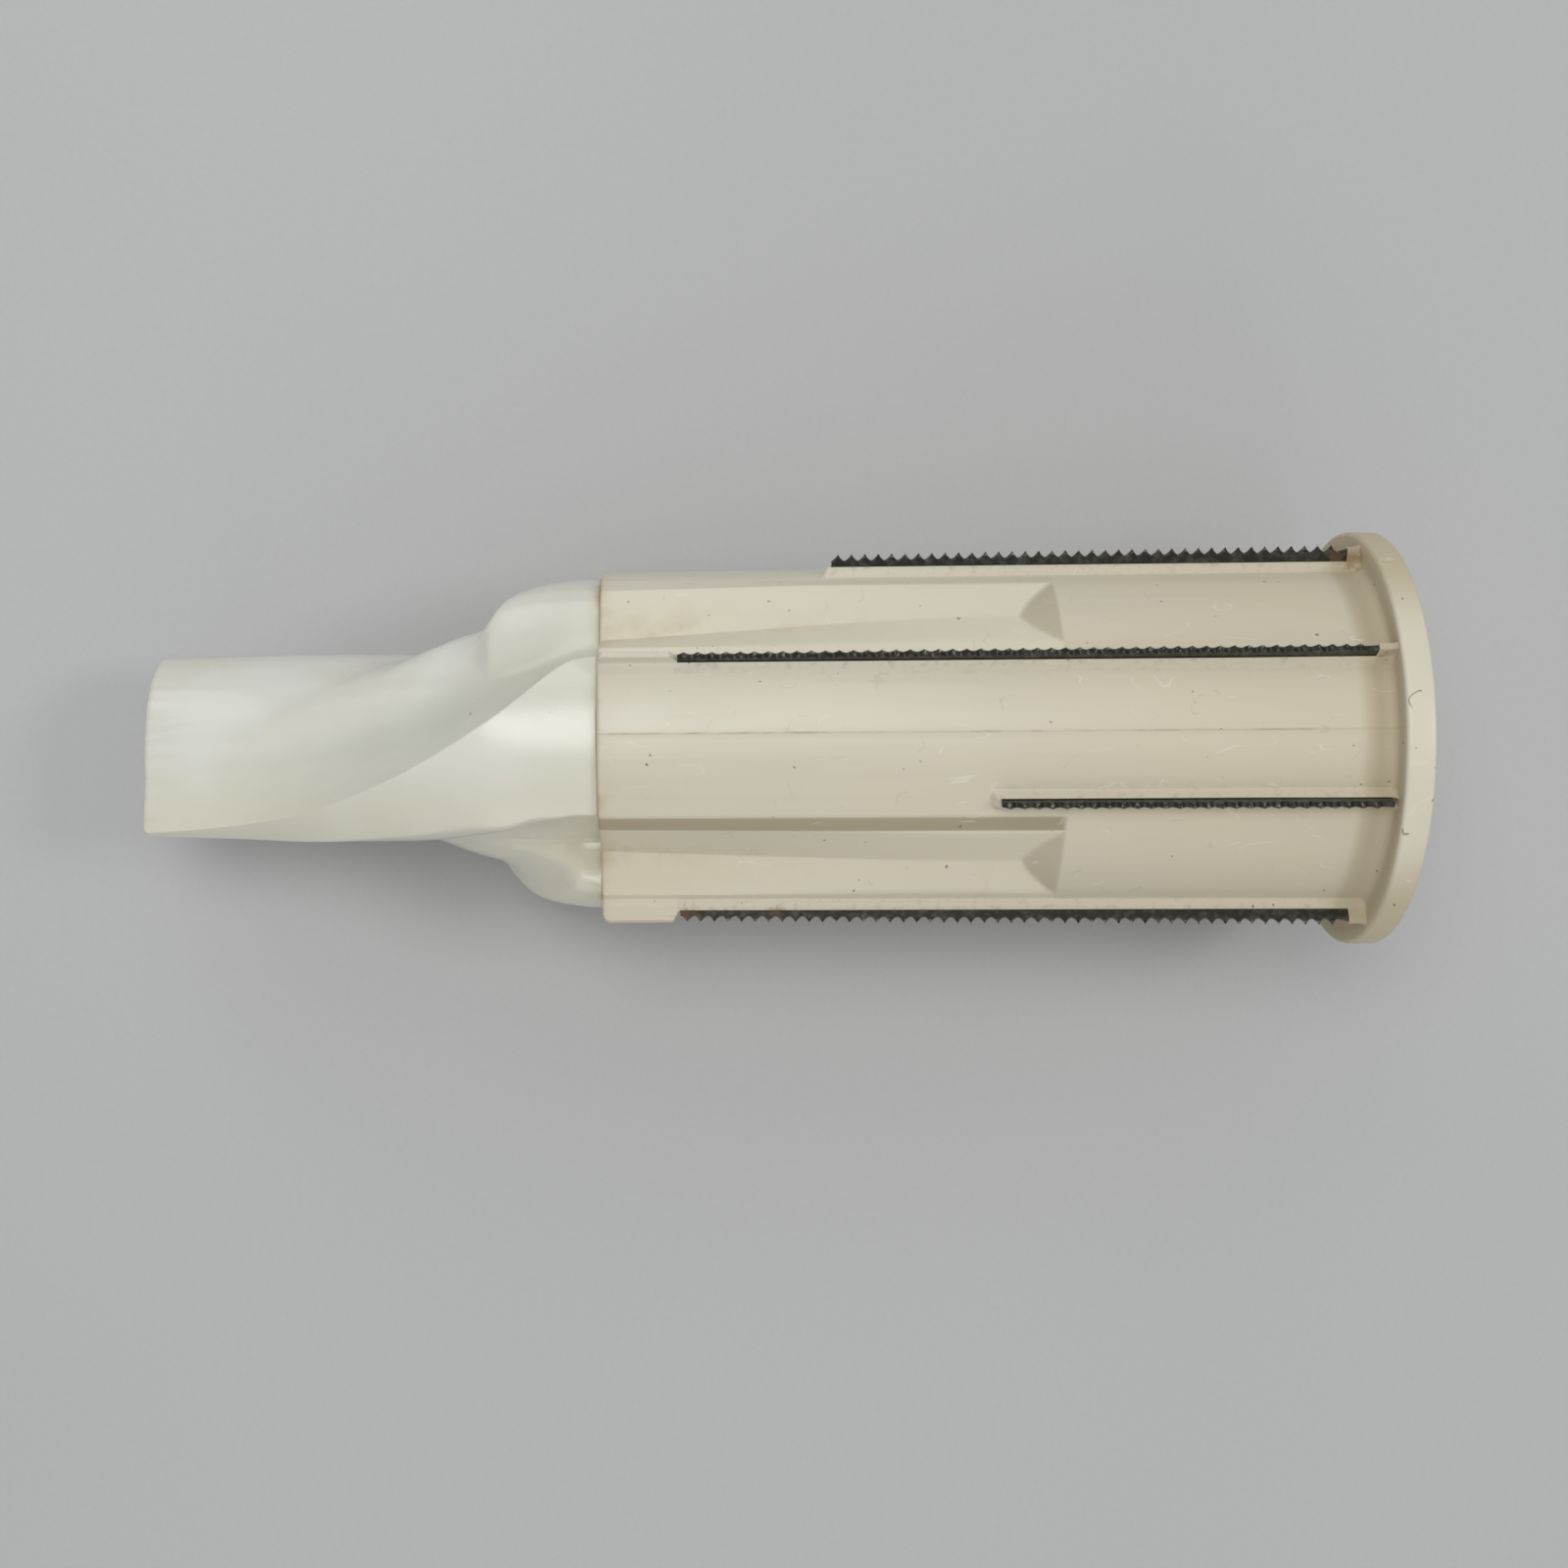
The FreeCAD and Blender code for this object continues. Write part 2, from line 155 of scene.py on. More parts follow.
def soft_max(a, b, reach):
    """The larger of two surfaces, blended where they come within reach of each other."""
    share = np.clip(0.5 + 0.5 * (a - b) / reach, 0.0, 1.0)
    return b + (a - b) * share + reach * share * (1 - share)


def soft_min(a, b, reach):
    """The smaller of two surfaces, blended in the same way."""
    return -soft_max(-a, -b, reach)


def chord(angle, start, end):
    """Radius at an angle of the straight line through two polar points (radius, angle)."""
    radius_a, angle_a = start
    radius_b, angle_b = end
    span = np.sin(np.radians(angle_b - angle_a))
    from_b = radius_b * np.sin(np.radians(angle_b - angle))
    from_a = radius_a * np.sin(np.radians(angle - angle_a))
    below = from_b + from_a
    return radius_a * radius_b * span / np.where(np.abs(below) < TINY, TINY, below)


def fold(angle, every):
    """An angle from the nearest multiple of a spacing, between minus and plus half of it."""
    return np.mod(angle + every / 2, every) - every / 2


def ring_points(x, radius, angle):
    """Points of a surface given by its place along the axis, radius and angle."""
    turn = np.radians(angle)
    x = np.broadcast_to(x, np.broadcast(x, radius, turn).shape)
    return np.stack([x, radius * np.sin(turn), radius * np.cos(turn)], axis=-1)


def shell(points, loop_rows=False, close_start=False, close_end=False):
    """Vertices and faces of a grid of points whose columns close on themselves. The rows
    close too if loop_rows is set, or an end is closed by a fan to its own centre."""
    rows, columns = points.shape[:2]
    vertices = points.reshape(-1, 3)
    first = np.arange(rows if loop_rows else rows - 1)
    second = (first + 1) % rows
    left = np.arange(columns)
    right = (left + 1) % columns
    quads = np.stack([
        first[:, None] * columns + left,
        first[:, None] * columns + right,
        second[:, None] * columns + right,
        second[:, None] * columns + left,
    ], axis=-1).reshape(-1, 4).tolist()
    for row, wanted, flip in ((0, close_start, True), (rows - 1, close_end, False)):
        if wanted:
            centre = len(vertices)
            vertices = np.vstack([vertices, points[row].mean(axis=0)])
            a = row * columns + (right if flip else left)
            b = row * columns + (left if flip else right)
            quads += np.stack([a, b, np.full(columns, centre)], axis=-1).tolist()
    return vertices, quads


def signed_volume(vertices, faces):
    """Volume inside a closed shell, negative if its faces look inwards."""
    total = 0.0
    for corners in (3, 4):
        chosen = np.array([face for face in faces if len(face) == corners], int)
        if len(chosen):
            a = vertices[chosen[:, 0]]
            for second in range(1, corners - 1):
                b = vertices[chosen[:, second]]
                c = vertices[chosen[:, second + 1]]
                total += np.einsum("ij,ij->i", a, np.cross(b, c)).sum() / 6
    return total


def add_piece(name, shells, material, replaced, sharp=35.0, attributes=None):
    """Makes one object of closed shells, facing outwards, and ties it to the frame."""
    all_vertices = []
    all_faces = []
    offset = 0
    for vertices, faces in shells:
        if signed_volume(vertices, faces) < 0:
            faces = [face[::-1] for face in faces]
        all_vertices.append(vertices)
        all_faces += [[index + offset for index in face] for face in faces]
        offset += len(vertices)
    mesh = bpy.data.meshes.new(name)
    mesh.from_pydata((np.vstack(all_vertices) * MM).tolist(), [], all_faces)
    mesh.polygons.foreach_set("use_smooth", np.ones(len(mesh.polygons), bool))
    mesh.set_sharp_from_angle(angle=math.radians(sharp))
    for key, values in (attributes or {}).items():
        layer = mesh.attributes.new(key, "FLOAT", "POINT")
        filled = np.zeros(offset, np.float32)
        filled[: len(values)] = values
        layer.data.foreach_set("value", filled)
    mesh.materials.append(material)
    mesh.update()
    piece = bpy.data.objects.new(name, mesh)
    bpy.context.scene.collection.objects.link(piece)
    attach(piece, "root")
    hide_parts(replaced)
    return piece


# ---------------------------------------------------------------- auger nose

# Each curve runs from the seam (0) to the tip, in millimetres ahead of the seam.
RIDGE_TURN = (
    (0, 28.8), (3.2, 27.8), (5.8, 24.5), (9.7, 17.0), (13.1, 10.6), (19, 1.2),
    (26.3, -9.8), (32.4, -18.6), (44.4, -37.0), (53.4, -49.5), (68.7, -65.5),
)
RIDGE_RADIUS = ((0, 25.1), (15.2, 24.2), (26.4, 22.0), (38.4, 19.0), (53.4, 15.8), (68.7, 14.5))
FACE_FALL = ((0, 11.0), (32.4, 7.2), (68.7, 11.0))
HOLLOW_RADIUS = ((0, 17.6), (12.0, 17.4), (26.4, 13.0), (44.4, 8.5), (68.7, 6.2))
WAIST_RADIUS = ((0, 17.4), (15.2, 16.4), (32.4, 12.4), (53.4, 7.2), (68.7, 5.35))
SWELL_START = ((0, 119.0), (15.2, 120.0), (26.4, 110.0), (38.4, 88.0), (50, 76.0), (68.7, 66.0))
SWELL_END = (
    (0, 126.0), (3.2, 127.0), (5.8, 129.5), (9.7, 136.5), (13.1, 140.0), (19, 147.5),
    (26.4, 152.5), (38.4, 159.0), (50, 164.0), (68.7, 175.0),
)
SWELL_SHAPE = ((0, 1.0), (15.2, 0.8), (26.4, 0.4), (38.4, 0.1), (68.7, 0.0))
SWELL_POWER = 2.3
CREST_FLAT = 0.12
CREST_ROUND = 0.4

# A shoulder's own round: its radius by angle, over half a turn. The flute beside the next
# ridge rises to the land, which ends in a steep back.
SHOULDER_ROUND = (
    (5, 4.0), (30, 15.5), (41.2, 19.7), (51, 22.3), (60.2, 24.4),
    (66, 25.0), (74, 25.1), (114, 25.1), (118, 24.5), (123, 17.0), (130, 10.0), (185, 4.0),
)
SHOULDER_ROUND_START = 5.0
# Fall of a shoulder from that round, by distance behind its slanted front edge.
SHOULDER_FALL = (
    (-26, 22.0), (-14, 10.5), (-8, 7.6), (-4.8, 6.7), (-2.5, 5.5), (-1, 4.2),
    (0.3, 2.2), (1.4, 0.9), (4.2, 0.25), (7, 0.0),
)
SHOULDER_LENGTH = 12.9
SHOULDER_MIDDLE = 78.0
SHOULDER_SLANT = 5.0
LAND_TAPER = 0.06
SHOULDER_BLEND = 3.2

# The nose's grid, and its rounded edges at the seam and the tip.
NOSE_HALF_COLUMNS = 216
NOSE_ROWS = 170
SEAM_EDGE = 0.35
TIP_EDGE = 0.9


def auger_radius(ahead, around):
    """Radius of the twisted body. From each ridge the section falls off its leading face
    as an exponential, runs along a hollow and a waist, and swells to the next ridge. A
    soft limit just under the ridge rounds its crest."""
    ridge = curve(ahead, RIDGE_RADIUS)
    hollow = curve(ahead, HOLLOW_RADIUS)
    waist = curve(ahead, WAIST_RADIUS)
    floor = hollow + (waist - hollow) * ease((around - 20.0) / 70.0)
    face = np.exp(-around / curve(ahead, FACE_FALL))
    start = curve(ahead, SWELL_START)
    share = np.clip((around - start) / (curve(ahead, SWELL_END) - start), 0.0, 1.0)
    shape = curve(ahead, SWELL_SHAPE)
    swell = (1 - shape) * share**SWELL_POWER + shape * ease(share)
    body = floor + (ridge - floor) * np.maximum(face, swell)
    return soft_min(body, ridge - CREST_FLAT, CREST_ROUND)


def shoulder_radius(ahead, angle):
    """Radius of the two shoulders: their round, less a taper and less the fall of their
    slanted front, which starts further back where the angle is greater."""
    half = np.mod(angle - SHOULDER_ROUND_START, HALF_TURN) + SHOULDER_ROUND_START
    front = SHOULDER_LENGTH + (SHOULDER_MIDDLE - np.clip(half, 55.0, 125.0)) / SHOULDER_SLANT
    return curve(half, SHOULDER_ROUND) - LAND_TAPER * ahead - curve(front - ahead, SHOULDER_FALL)


def nose_radius(ahead, angle, around):
    """Radius of the nose: the twisted body and the shoulders, blended."""
    body = auger_radius(ahead, around)
    return soft_max(body, shoulder_radius(ahead, angle), SHOULDER_BLEND)


def make_nose(material):
    """The nose as rows of rings that turn with the ridge, so that both ridges follow the
    same columns, and the keyed core behind it with the shaft bore."""
    half = np.linspace(0.0, 1.0, NOSE_HALF_COLUMNS, endpoint=False)
    around = HALF_TURN * (0.5 * half + 0.5 * (1 - np.cos(math.pi * half)) / 2)
    around = np.concatenate([around, around + HALF_TURN])[None, :]

    def section(place):
        """Radius and angle of the nose at one place, or at a column of places."""
        angle = around + curve(place, RIDGE_TURN)
        return nose_radius(place, angle, np.mod(around, HALF_TURN)), angle

    rows = []
    radius, angle = section(0.0)
    for share in (0.5, 0.8):
        rows.append(ring_points(SEAM, share * (radius - SEAM_EDGE), angle))
    for bend in np.radians(np.linspace(0, 72, 4)):
        place = SEAM_EDGE * (1 - math.cos(bend))
        radius, angle = section(place)
        radius = radius - SEAM_EDGE * (1 - math.sin(bend))
        rows.append(ring_points(SEAM - place, radius, angle))
    ahead = np.linspace(SEAM_EDGE, NOSE_LENGTH - TIP_EDGE, NOSE_ROWS)[:, None]
    radius, angle = section(ahead)
    rows += list(ring_points(SEAM - ahead, radius, angle)[:, None])
    for bend in np.radians(np.linspace(15, 90, 6)):
        place = NOSE_LENGTH - TIP_EDGE * (1 - math.sin(bend))
        radius, angle = section(place)
        radius = radius - TIP_EDGE * (1 - math.cos(bend))
        rows.append(ring_points(SEAM - place, radius, angle))
    for share in (0.8, 0.5, 0.2):
        rows.append(ring_points(TIP, share * radius, angle))
    points = np.concatenate(rows, axis=0)
    body = shell(points, close_start=True, close_end=True)
    return add_piece(
        "auger_nose", [body, core_shell()], material, "nose_auger",
        sharp=60.0, attributes=nose_marks(points),
    )


def nose_marks(points):
    """Masks over the nose: at the seam, and in the hollow at each ridge's foot."""
    ahead = SEAM - points[..., 0]
    turned = np.degrees(np.arctan2(points[..., 1], points[..., 2]))
    around = np.mod(turned - curve(np.clip(ahead, 0, NOSE_LENGTH), RIDGE_TURN), HALF_TURN)
    # Darkening in the hollow at each ridge's foot: grime with painted shade.
    foot = np.exp(-(((around - 20.0) / 17.0) ** 2))
    lengthwise = ease(ahead / 10.0) * ease((62.0 - ahead) / 26.0)
    return {
        "near_seam": np.exp(-ahead / 0.7).ravel(),
        "ridge_foot": (foot * lengthwise).ravel(),
    }


def keyed(angle, radius, width, height, first, every):
    """Radius of a round section with square keys: inside a key's width it is the key's
    flat top, and its sides stay parallel."""
    local = np.radians(fold(angle - first, every))
    top = (radius + height) / np.cos(local)
    side = (width / 2) / np.maximum(np.abs(np.sin(local)), TINY)
    return np.maximum(radius, np.minimum(top, side))


def core_shell():
    """The core from the seam to the flange's rear face, round its end and into the bore."""
    angle = np.linspace(0, FULL_TURN, 720, endpoint=False)[None, :]
    outside = keyed(angle, CORE_RADIUS, KEY_WIDTH, KEY_HEIGHT, BLADE_PHASE, QUARTER)
    inside = keyed(angle, BORE_RADIUS, DRIVE_SLOT_WIDTH, DRIVE_SLOT_DEPTH, 0.0, FULL_TURN)
    lead = 0.5
    path = (
        (SEAM + 0.2, outside * 0.5),
        (SEAM + 0.2, outside),
        (REAR - 0.2, outside),
        (REAR, outside - 0.2),
        (REAR, inside + lead),
        (REAR - lead, inside),
        (REAR - BORE_DEPTH, inside),
        (REAR - BORE_DEPTH, inside * 0.4),
    )
    points = np.concatenate([ring_points(x, radius, angle) for x, radius in path], axis=0)
    return shell(points, close_start=True, close_end=True)


# ---------------------------------------------------------------- drum

FLUTE_LENGTH = 61.2
FLUTE_RAMP = 5.6
FLUTE_FLOOR = ((0, 21.7), (FLUTE_LENGTH, 25.1), (DRUM_LENGTH, 25.1))
FLUTE_FLOOR_ANGLE = ((0, 18.0), (FLUTE_LENGTH, 20.6), (DRUM_LENGTH, 20.6))
FLUTE_NEAR = (27.4, 3.3)
FLUTE_FAR_RADIUS = ((0, 25.6), (FLUTE_LENGTH, 26.8), (DRUM_LENGTH, 26.8))
FLUTE_FAR_ANGLE = 35.8
FLUTE_LIP_ANGLE = 40.5
FLUTE_START_ANGLE = 1.5
FLUTE_BLEND = 0.1
RAMP_ROOM = 0.6
LIP_BLEND = 0.08
OUT_OF_REACH = 99.0


def along_drum(start, end, place):
    """A value that runs straight from the seam to the flange."""
    return start + (end - start) * place / DRUM_LENGTH


def blade_setback(kind):
    """How far the front end of a kind of strip stands behind the seam, from the frame."""
    low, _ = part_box(f"blade_{kind}_1")
    return low[0] / MM - SEAM


def blade_end(kind):
    """How far behind the seam a kind of strip ends at its teeth, from the frame."""
    _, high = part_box(f"blade_{kind}_1")
    return high[0] / MM - SEAM - BLADE_HEIGHT * math.sin(math.radians(BLADE_TAPER))


def from_strip(angle, count, turn):
    """Angle from the nearest strip of a set, between minus and plus half its spacing."""
    return fold(angle - BLADE_PHASE - turn, FULL_TURN / count)


def from_parting(angle):
    """Angle from the nearest parting line."""
    return fold(angle - BLADE_PHASE - PARTING_ANGLE, QUARTER)


def beside_strip(angle, radius, count, turn):
    """Distance sideways from the nearest strip of a set, and where that distance counts."""
    local = from_strip(angle, count, turn)
    sideways = np.abs(radius * np.sin(np.radians(np.clip(local, -QUARTER, QUARTER))))
    return sideways, np.abs(local) < QUARTER / 2


def drum_base(place, angle):
    """The slightly widening cylinder that everything else is added to or cut from."""
    return along_drum(DRUM_FRONT_RADIUS, DRUM_REAR_RADIUS, place) + 0.0 * angle


def flute_walls(place, inside, base):
    """Radius of a flute's walls: straight lines from the floor to both edges, with a lip
    at the far edge."""
    held = np.clip(inside, 0.5, 60.0)
    floor = (curve(place, FLUTE_FLOOR), curve(place, FLUTE_FLOOR_ANGLE))
    far_corner = (curve(place, FLUTE_FAR_RADIUS), FLUTE_FAR_ANGLE)
    near_wall = chord(held, FLUTE_NEAR, floor)
    far_wall = chord(held, floor, far_corner)
    lip = chord(held, far_corner, (base, FLUTE_LIP_ANGLE))
    return soft_max(near_wall, soft_min(far_wall, lip, LIP_BLEND), FLUTE_BLEND)


def flute_ramp(place, base):
    """Radius of the ramp that rises from the end of a flute's floor to the surface."""
    floor = curve(place, FLUTE_FLOOR)
    return floor + (place - FLUTE_LENGTH) * (base - floor + 0.1) / FLUTE_RAMP


def flute_surface(place, angle, base):
    """Radius of the flutes, and a large value between them."""
    inside = np.mod(angle - BLADE_PHASE, QUARTER)
    walls = flute_walls(place, inside, base)
    valley = soft_max(walls, flute_ramp(place, base), FLUTE_BLEND)
    in_flute = (inside > FLUTE_START_ANGLE) & (inside < FLUTE_LIP_ANGLE)
    return np.where(in_flute, valley, OUT_OF_REACH)


def drum_radius(place, angle):
    """Radius of the drum's outside. place is measured back from the seam.

    The base is a slightly widening cylinder, cut by the flutes. Ridges, ribs, slots and
    parting lines are added across their own sideways distance in millimetres."""
    base = drum_base(place, angle)
    ridge_top = along_drum(RIDGE_FRONT_RADIUS, RIDGE_REAR_RADIUS, place)
    surface = base
    for kind, count, turn in BLADE_SETS:
        sideways, near = beside_strip(angle, base, count, turn)
        start = RIDGE_OPEN_START if kind == "long" else blade_setback(kind) - RIDGE_LEAD
        foot = ease((RIDGE_HALF_FOOT - sideways) / (RIDGE_HALF_FOOT - RIDGE_HALF_TOP))
        lead = ease((place - start) / RIDGE_LEAD_SLOPE)
        surface = surface + np.where(near, (ridge_top - base) * foot * lead, 0.0)
    surface = soft_min(surface, flute_surface(place, angle, base), FLUTE_BLEND)
    from_line = np.abs(base * np.radians(from_parting(angle)))
    surface = surface + PARTING_HEIGHT * ease((PARTING_HALF_WIDTH - from_line) / 0.2)
    for kind, count, turn in BLADE_SETS:
        sideways, near = beside_strip(angle, base, count, turn)
        setback = blade_setback(kind)
        rib = np.clip((RIB_HALF_WIDTH - sideways) / RIB_WALL + 0.5, 0.0, 1.0)
        if kind == "long":
            corner = np.clip(RIB_CORNER - place, 0.0, RIB_CORNER)
            rounded = RIB_CORNER - np.sqrt(RIB_CORNER**2 - corner**2)
            end = 1 - ease((place - setback + RIB_END_SLOPE) / RIB_END_SLOPE)
            rise = (RIB_RADIUS - rounded - surface) * end
            surface = surface + np.where(near, rise * rib, 0.0)
        half_slot = BLADE_THICKNESS / 2 + SLOT_GAP
        slot = np.clip((half_slot + SLOT_WALL - sideways) / SLOT_WALL, 0.0, 1.0)
        slot = slot * (place > setback - STEP_ROOM) * (place < blade_end(kind))
        surface = surface - np.where(near, SLOT_DEPTH * slot, 0.0)
        rear_rib = rib * (place > blade_end(kind) + STEP_ROOM)
        surface = surface + np.where(near, (REAR_RIB_RADIUS - surface) * rear_rib, 0.0)
    return surface


def drum_columns():
    """Columns around the drum: close together across each ridge, each crease of a flute
    and each parting line, and at the corners of the keyways."""
    ridge = np.array([
        0.0, 0.22, 0.4, 0.445, 0.482, 0.512, 0.56, 0.75, 0.95, 1.15, 1.35, 1.6, 2.2, 2.8,
    ])
    ridge = np.degrees(ridge / DRUM_REAR_RADIUS)
    flute = np.concatenate([
        [3.0, 3.3, 3.6], np.linspace(5.0, 16.6, 8),
        [8.53, 9.56, 17.4, 17.8, 18.0, 18.2, 18.6],
        np.linspace(19.8, 34.6, 12), [35.3, 35.7, 35.9, 36.3, 38.0, 39.9, 40.4, 40.6],
    ])
    line = np.degrees(np.array([0.0, 0.1, PARTING_HALF_WIDTH]) / DRUM_REAR_RADIUS)
    middle = QUARTER + PARTING_ANGLE
    parting = np.concatenate([middle + line, middle - line[1:]])
    panel = np.append(np.linspace(53.5, 79.0, 12), [80.44, 81.47])
    columns = []
    for index in range(4):
        second = MEDIUM_TURN if index % 2 == 0 else QUARTER + SHORT_TURN
        sector = np.concatenate([
            ridge, flute, second - ridge[1:], second + ridge, panel, parting, QUARTER - ridge[1:],
        ])
        columns.append(index * QUARTER + sector)
    return BLADE_PHASE + np.unique(np.round(np.concatenate(columns), 3))[None, :]


def drum_angle(place):
    """The columns, drawn aside so that one of them follows the floor of each flute."""
    columns = drum_columns()
    inside = np.mod(columns - BLADE_PHASE, QUARTER)
    nominal = FLUTE_FLOOR_ANGLE[0][1]
    rising = (inside - FLUTE_NEAR[1]) / (nominal - FLUTE_NEAR[1])
    falling = (FLUTE_FAR_ANGLE - 1.0 - inside) / (FLUTE_FAR_ANGLE - 1.0 - nominal)
    share = np.clip(np.minimum(rising, falling), 0.0, 1.0)
    return columns + share * (curve(place, FLUTE_FLOOR_ANGLE) - nominal)


def drum_places():
    """Rows along the drum: close together at the front edge, over the ramps of the flutes,
    and where a strip starts and ends."""
    coarse = np.linspace(2.0, DRUM_LENGTH - DRUM_ROOT_FILLET, 84)
    ramp = np.linspace(FLUTE_LENGTH - RAMP_ROOM, FLUTE_LENGTH + FLUTE_RAMP + RAMP_ROOM, 24)
    fine = [np.linspace(DRUM_FRONT_EDGE, 2.4, 8), ramp]
    for kind, _, _ in BLADE_SETS:
        setback = blade_setback(kind)
        fine.append(np.linspace(setback - 2.0, setback + 0.6, 14))
        rear = blade_end(kind)
        steps = [setback - 2 * STEP_ROOM, setback, rear - 2 * STEP_ROOM, rear + 2 * STEP_ROOM]
        fine.append(np.array(steps))
    places = np.unique(np.round(np.concatenate([coarse] + fine), 3))
    return places[places <= DRUM_LENGTH - DRUM_ROOT_FILLET]


def make_drum(material):
    """The drum and flange as one closed ring: along the outside, over the flange, across
    the rear face and back through the bore that takes the core."""
    columns = drum_columns()
    hole = keyed(columns, CORE_RADIUS, KEY_WIDTH, KEY_HEIGHT, BLADE_PHASE, QUARTER)
    hole = hole + CORE_CLEARANCE
    rows = []
    edge = DRUM_FRONT_EDGE
    front = drum_radius(0.0, columns)
    rows.append(ring_points(SEAM, hole, columns))
    rows.append(ring_points(SEAM, (hole + front - edge) / 2, columns))
    for bend in np.radians(np.linspace(0, 75, 5)):
        place = edge * (1 - math.cos(bend))
        radius = drum_radius(place, columns) - edge * (1 - math.sin(bend))
        rows.append(ring_points(SEAM + place, radius, columns))
    place = drum_places()[:, None]
    angle = drum_angle(place)
    rows.append(ring_points(SEAM + place, drum_radius(place, angle), angle))
    angle = drum_angle(DRUM_LENGTH)
    root = drum_radius(DRUM_LENGTH - DRUM_ROOT_FILLET, angle)
    fillet = np.minimum(DRUM_ROOT_FILLET, FLANGE_RADIUS - FLANGE_EDGE - 0.3 - root)
    for bend in np.radians(np.linspace(15, 90, 6)):
        x = FLANGE_FRONT - DRUM_ROOT_FILLET * (1 - math.sin(bend))
        rows.append(ring_points(x, root + fillet * (1 - math.cos(bend)), angle))
    foot = root + fillet
    face = FLANGE_RADIUS - FLANGE_EDGE + 0.0 * columns
    rows.append(ring_points(FLANGE_FRONT, (foot + face) / 2, columns))
    for bend in np.radians(np.linspace(0, 90, 6)):
        radius = face + FLANGE_EDGE * math.sin(bend)
        rows.append(ring_points(FLANGE_FRONT + FLANGE_EDGE * (1 - math.cos(bend)), radius, columns))
    rows.append(ring_points((FLANGE_FRONT + REAR) / 2, face + FLANGE_EDGE, columns))
    for bend in np.radians(np.linspace(0, 90, 6)):
        radius = face + FLANGE_EDGE * math.cos(bend)
        rows.append(ring_points(REAR - FLANGE_EDGE * (1 - math.sin(bend)), radius, columns))
    for share in (0.7, 0.4, 0.12):
        rows.append(ring_points(REAR, hole + share * (face - hole), columns))
    rows.append(ring_points(REAR, hole + 0.2, columns))
    rows.append(ring_points(REAR - 0.2, hole, columns))
    rows.append(ring_points((SEAM + REAR) / 2, hole, columns))
    points = np.concatenate(rows, axis=0)
    body = shell(points, loop_rows=True)
    return add_piece(
        "fluted_drum", [body], material, "cutter_drum",
        sharp=28.0, attributes=drum_marks(points),
    )


def drum_marks(points):
    """Masks over the drum: beside the strips, before the flange, at the seam, on the
    flange's rim, on a parting line, and over a flute's depth, walls, lip and ramp."""
    x = points[..., 0].ravel()
    place = x - SEAM
    radius = np.hypot(points[..., 1], points[..., 2]).ravel()
    angle = np.degrees(np.arctan2(points[..., 1], points[..., 2])).ravel()
    outside = (radius > 19.0) * (x < FLANGE_FRONT + 0.01)
    near_strip = np.zeros_like(x)
    for kind, count, turn in BLADE_SETS:
        sideways = radius * np.radians(from_strip(angle, count, turn))
        beside = np.exp(-np.maximum(np.abs(sideways) - RIDGE_HALF_TOP, 0.0) / 0.9)
        near_strip = np.maximum(near_strip, beside * (place > blade_setback(kind) - 0.5))
    from_line = np.abs(radius * np.radians(from_parting(angle)))
    base = drum_base(np.clip(place, 0.0, DRUM_LENGTH), angle)
    depth = base - radius
    inside = np.mod(angle - BLADE_PHASE, QUARTER)
    ramp = flute_ramp(place, base)
    past_flute = ease((place - FLUTE_LENGTH - FLUTE_RAMP + 0.3) / 0.5)
    in_flute = ease((inside - 2.6) / 1.0) * ease((FLUTE_LIP_ANGLE + 0.3 - inside) / 0.6)
    in_flute = in_flute * (1 - past_flute) * outside
    on_ramp = in_flute * ease((ramp - flute_walls(place, inside, base)) / 0.35 + 0.5)
    lip = in_flute * (1 - on_ramp) * ease((inside - FLUTE_FAR_ANGLE + 0.3) / 0.5)
    return {
        # Dirt with painted shade at the foot of each strip.
        "near_strip": near_strip * outside,
        # Painted shadow cast by the flange: over the last 4 to 5 mm of drum before it, and its
        # front face.
        "flange_shadow": ease((5.2 - FLANGE_FRONT + x) / 1.8) * outside,
        "near_seam": np.exp(-np.maximum(place, 0.0) / 0.9) * outside,
        "rim": ease((radius - (FLANGE_RADIUS - 1.0)) / 0.8),
        "parting": np.clip(1 - from_line / 0.2, 0.0, 1.0) * outside,
        # Darker the deeper a flute goes: dirt with painted shade.
        "crease": np.clip(depth / 4.0, 0.0, 1.0) ** 2 * in_flute * (1 - on_ramp),
        "flute": in_flute * (1 - on_ramp) * (1 - lip),
        # The far edge of each flute, which is made darker, most on the lower side.
        "lip": lip,
        # Painted shade on the ramp at each flute's end.
        "ramp": on_ramp,
    }


# ---------------------------------------------------------------- toothed strips

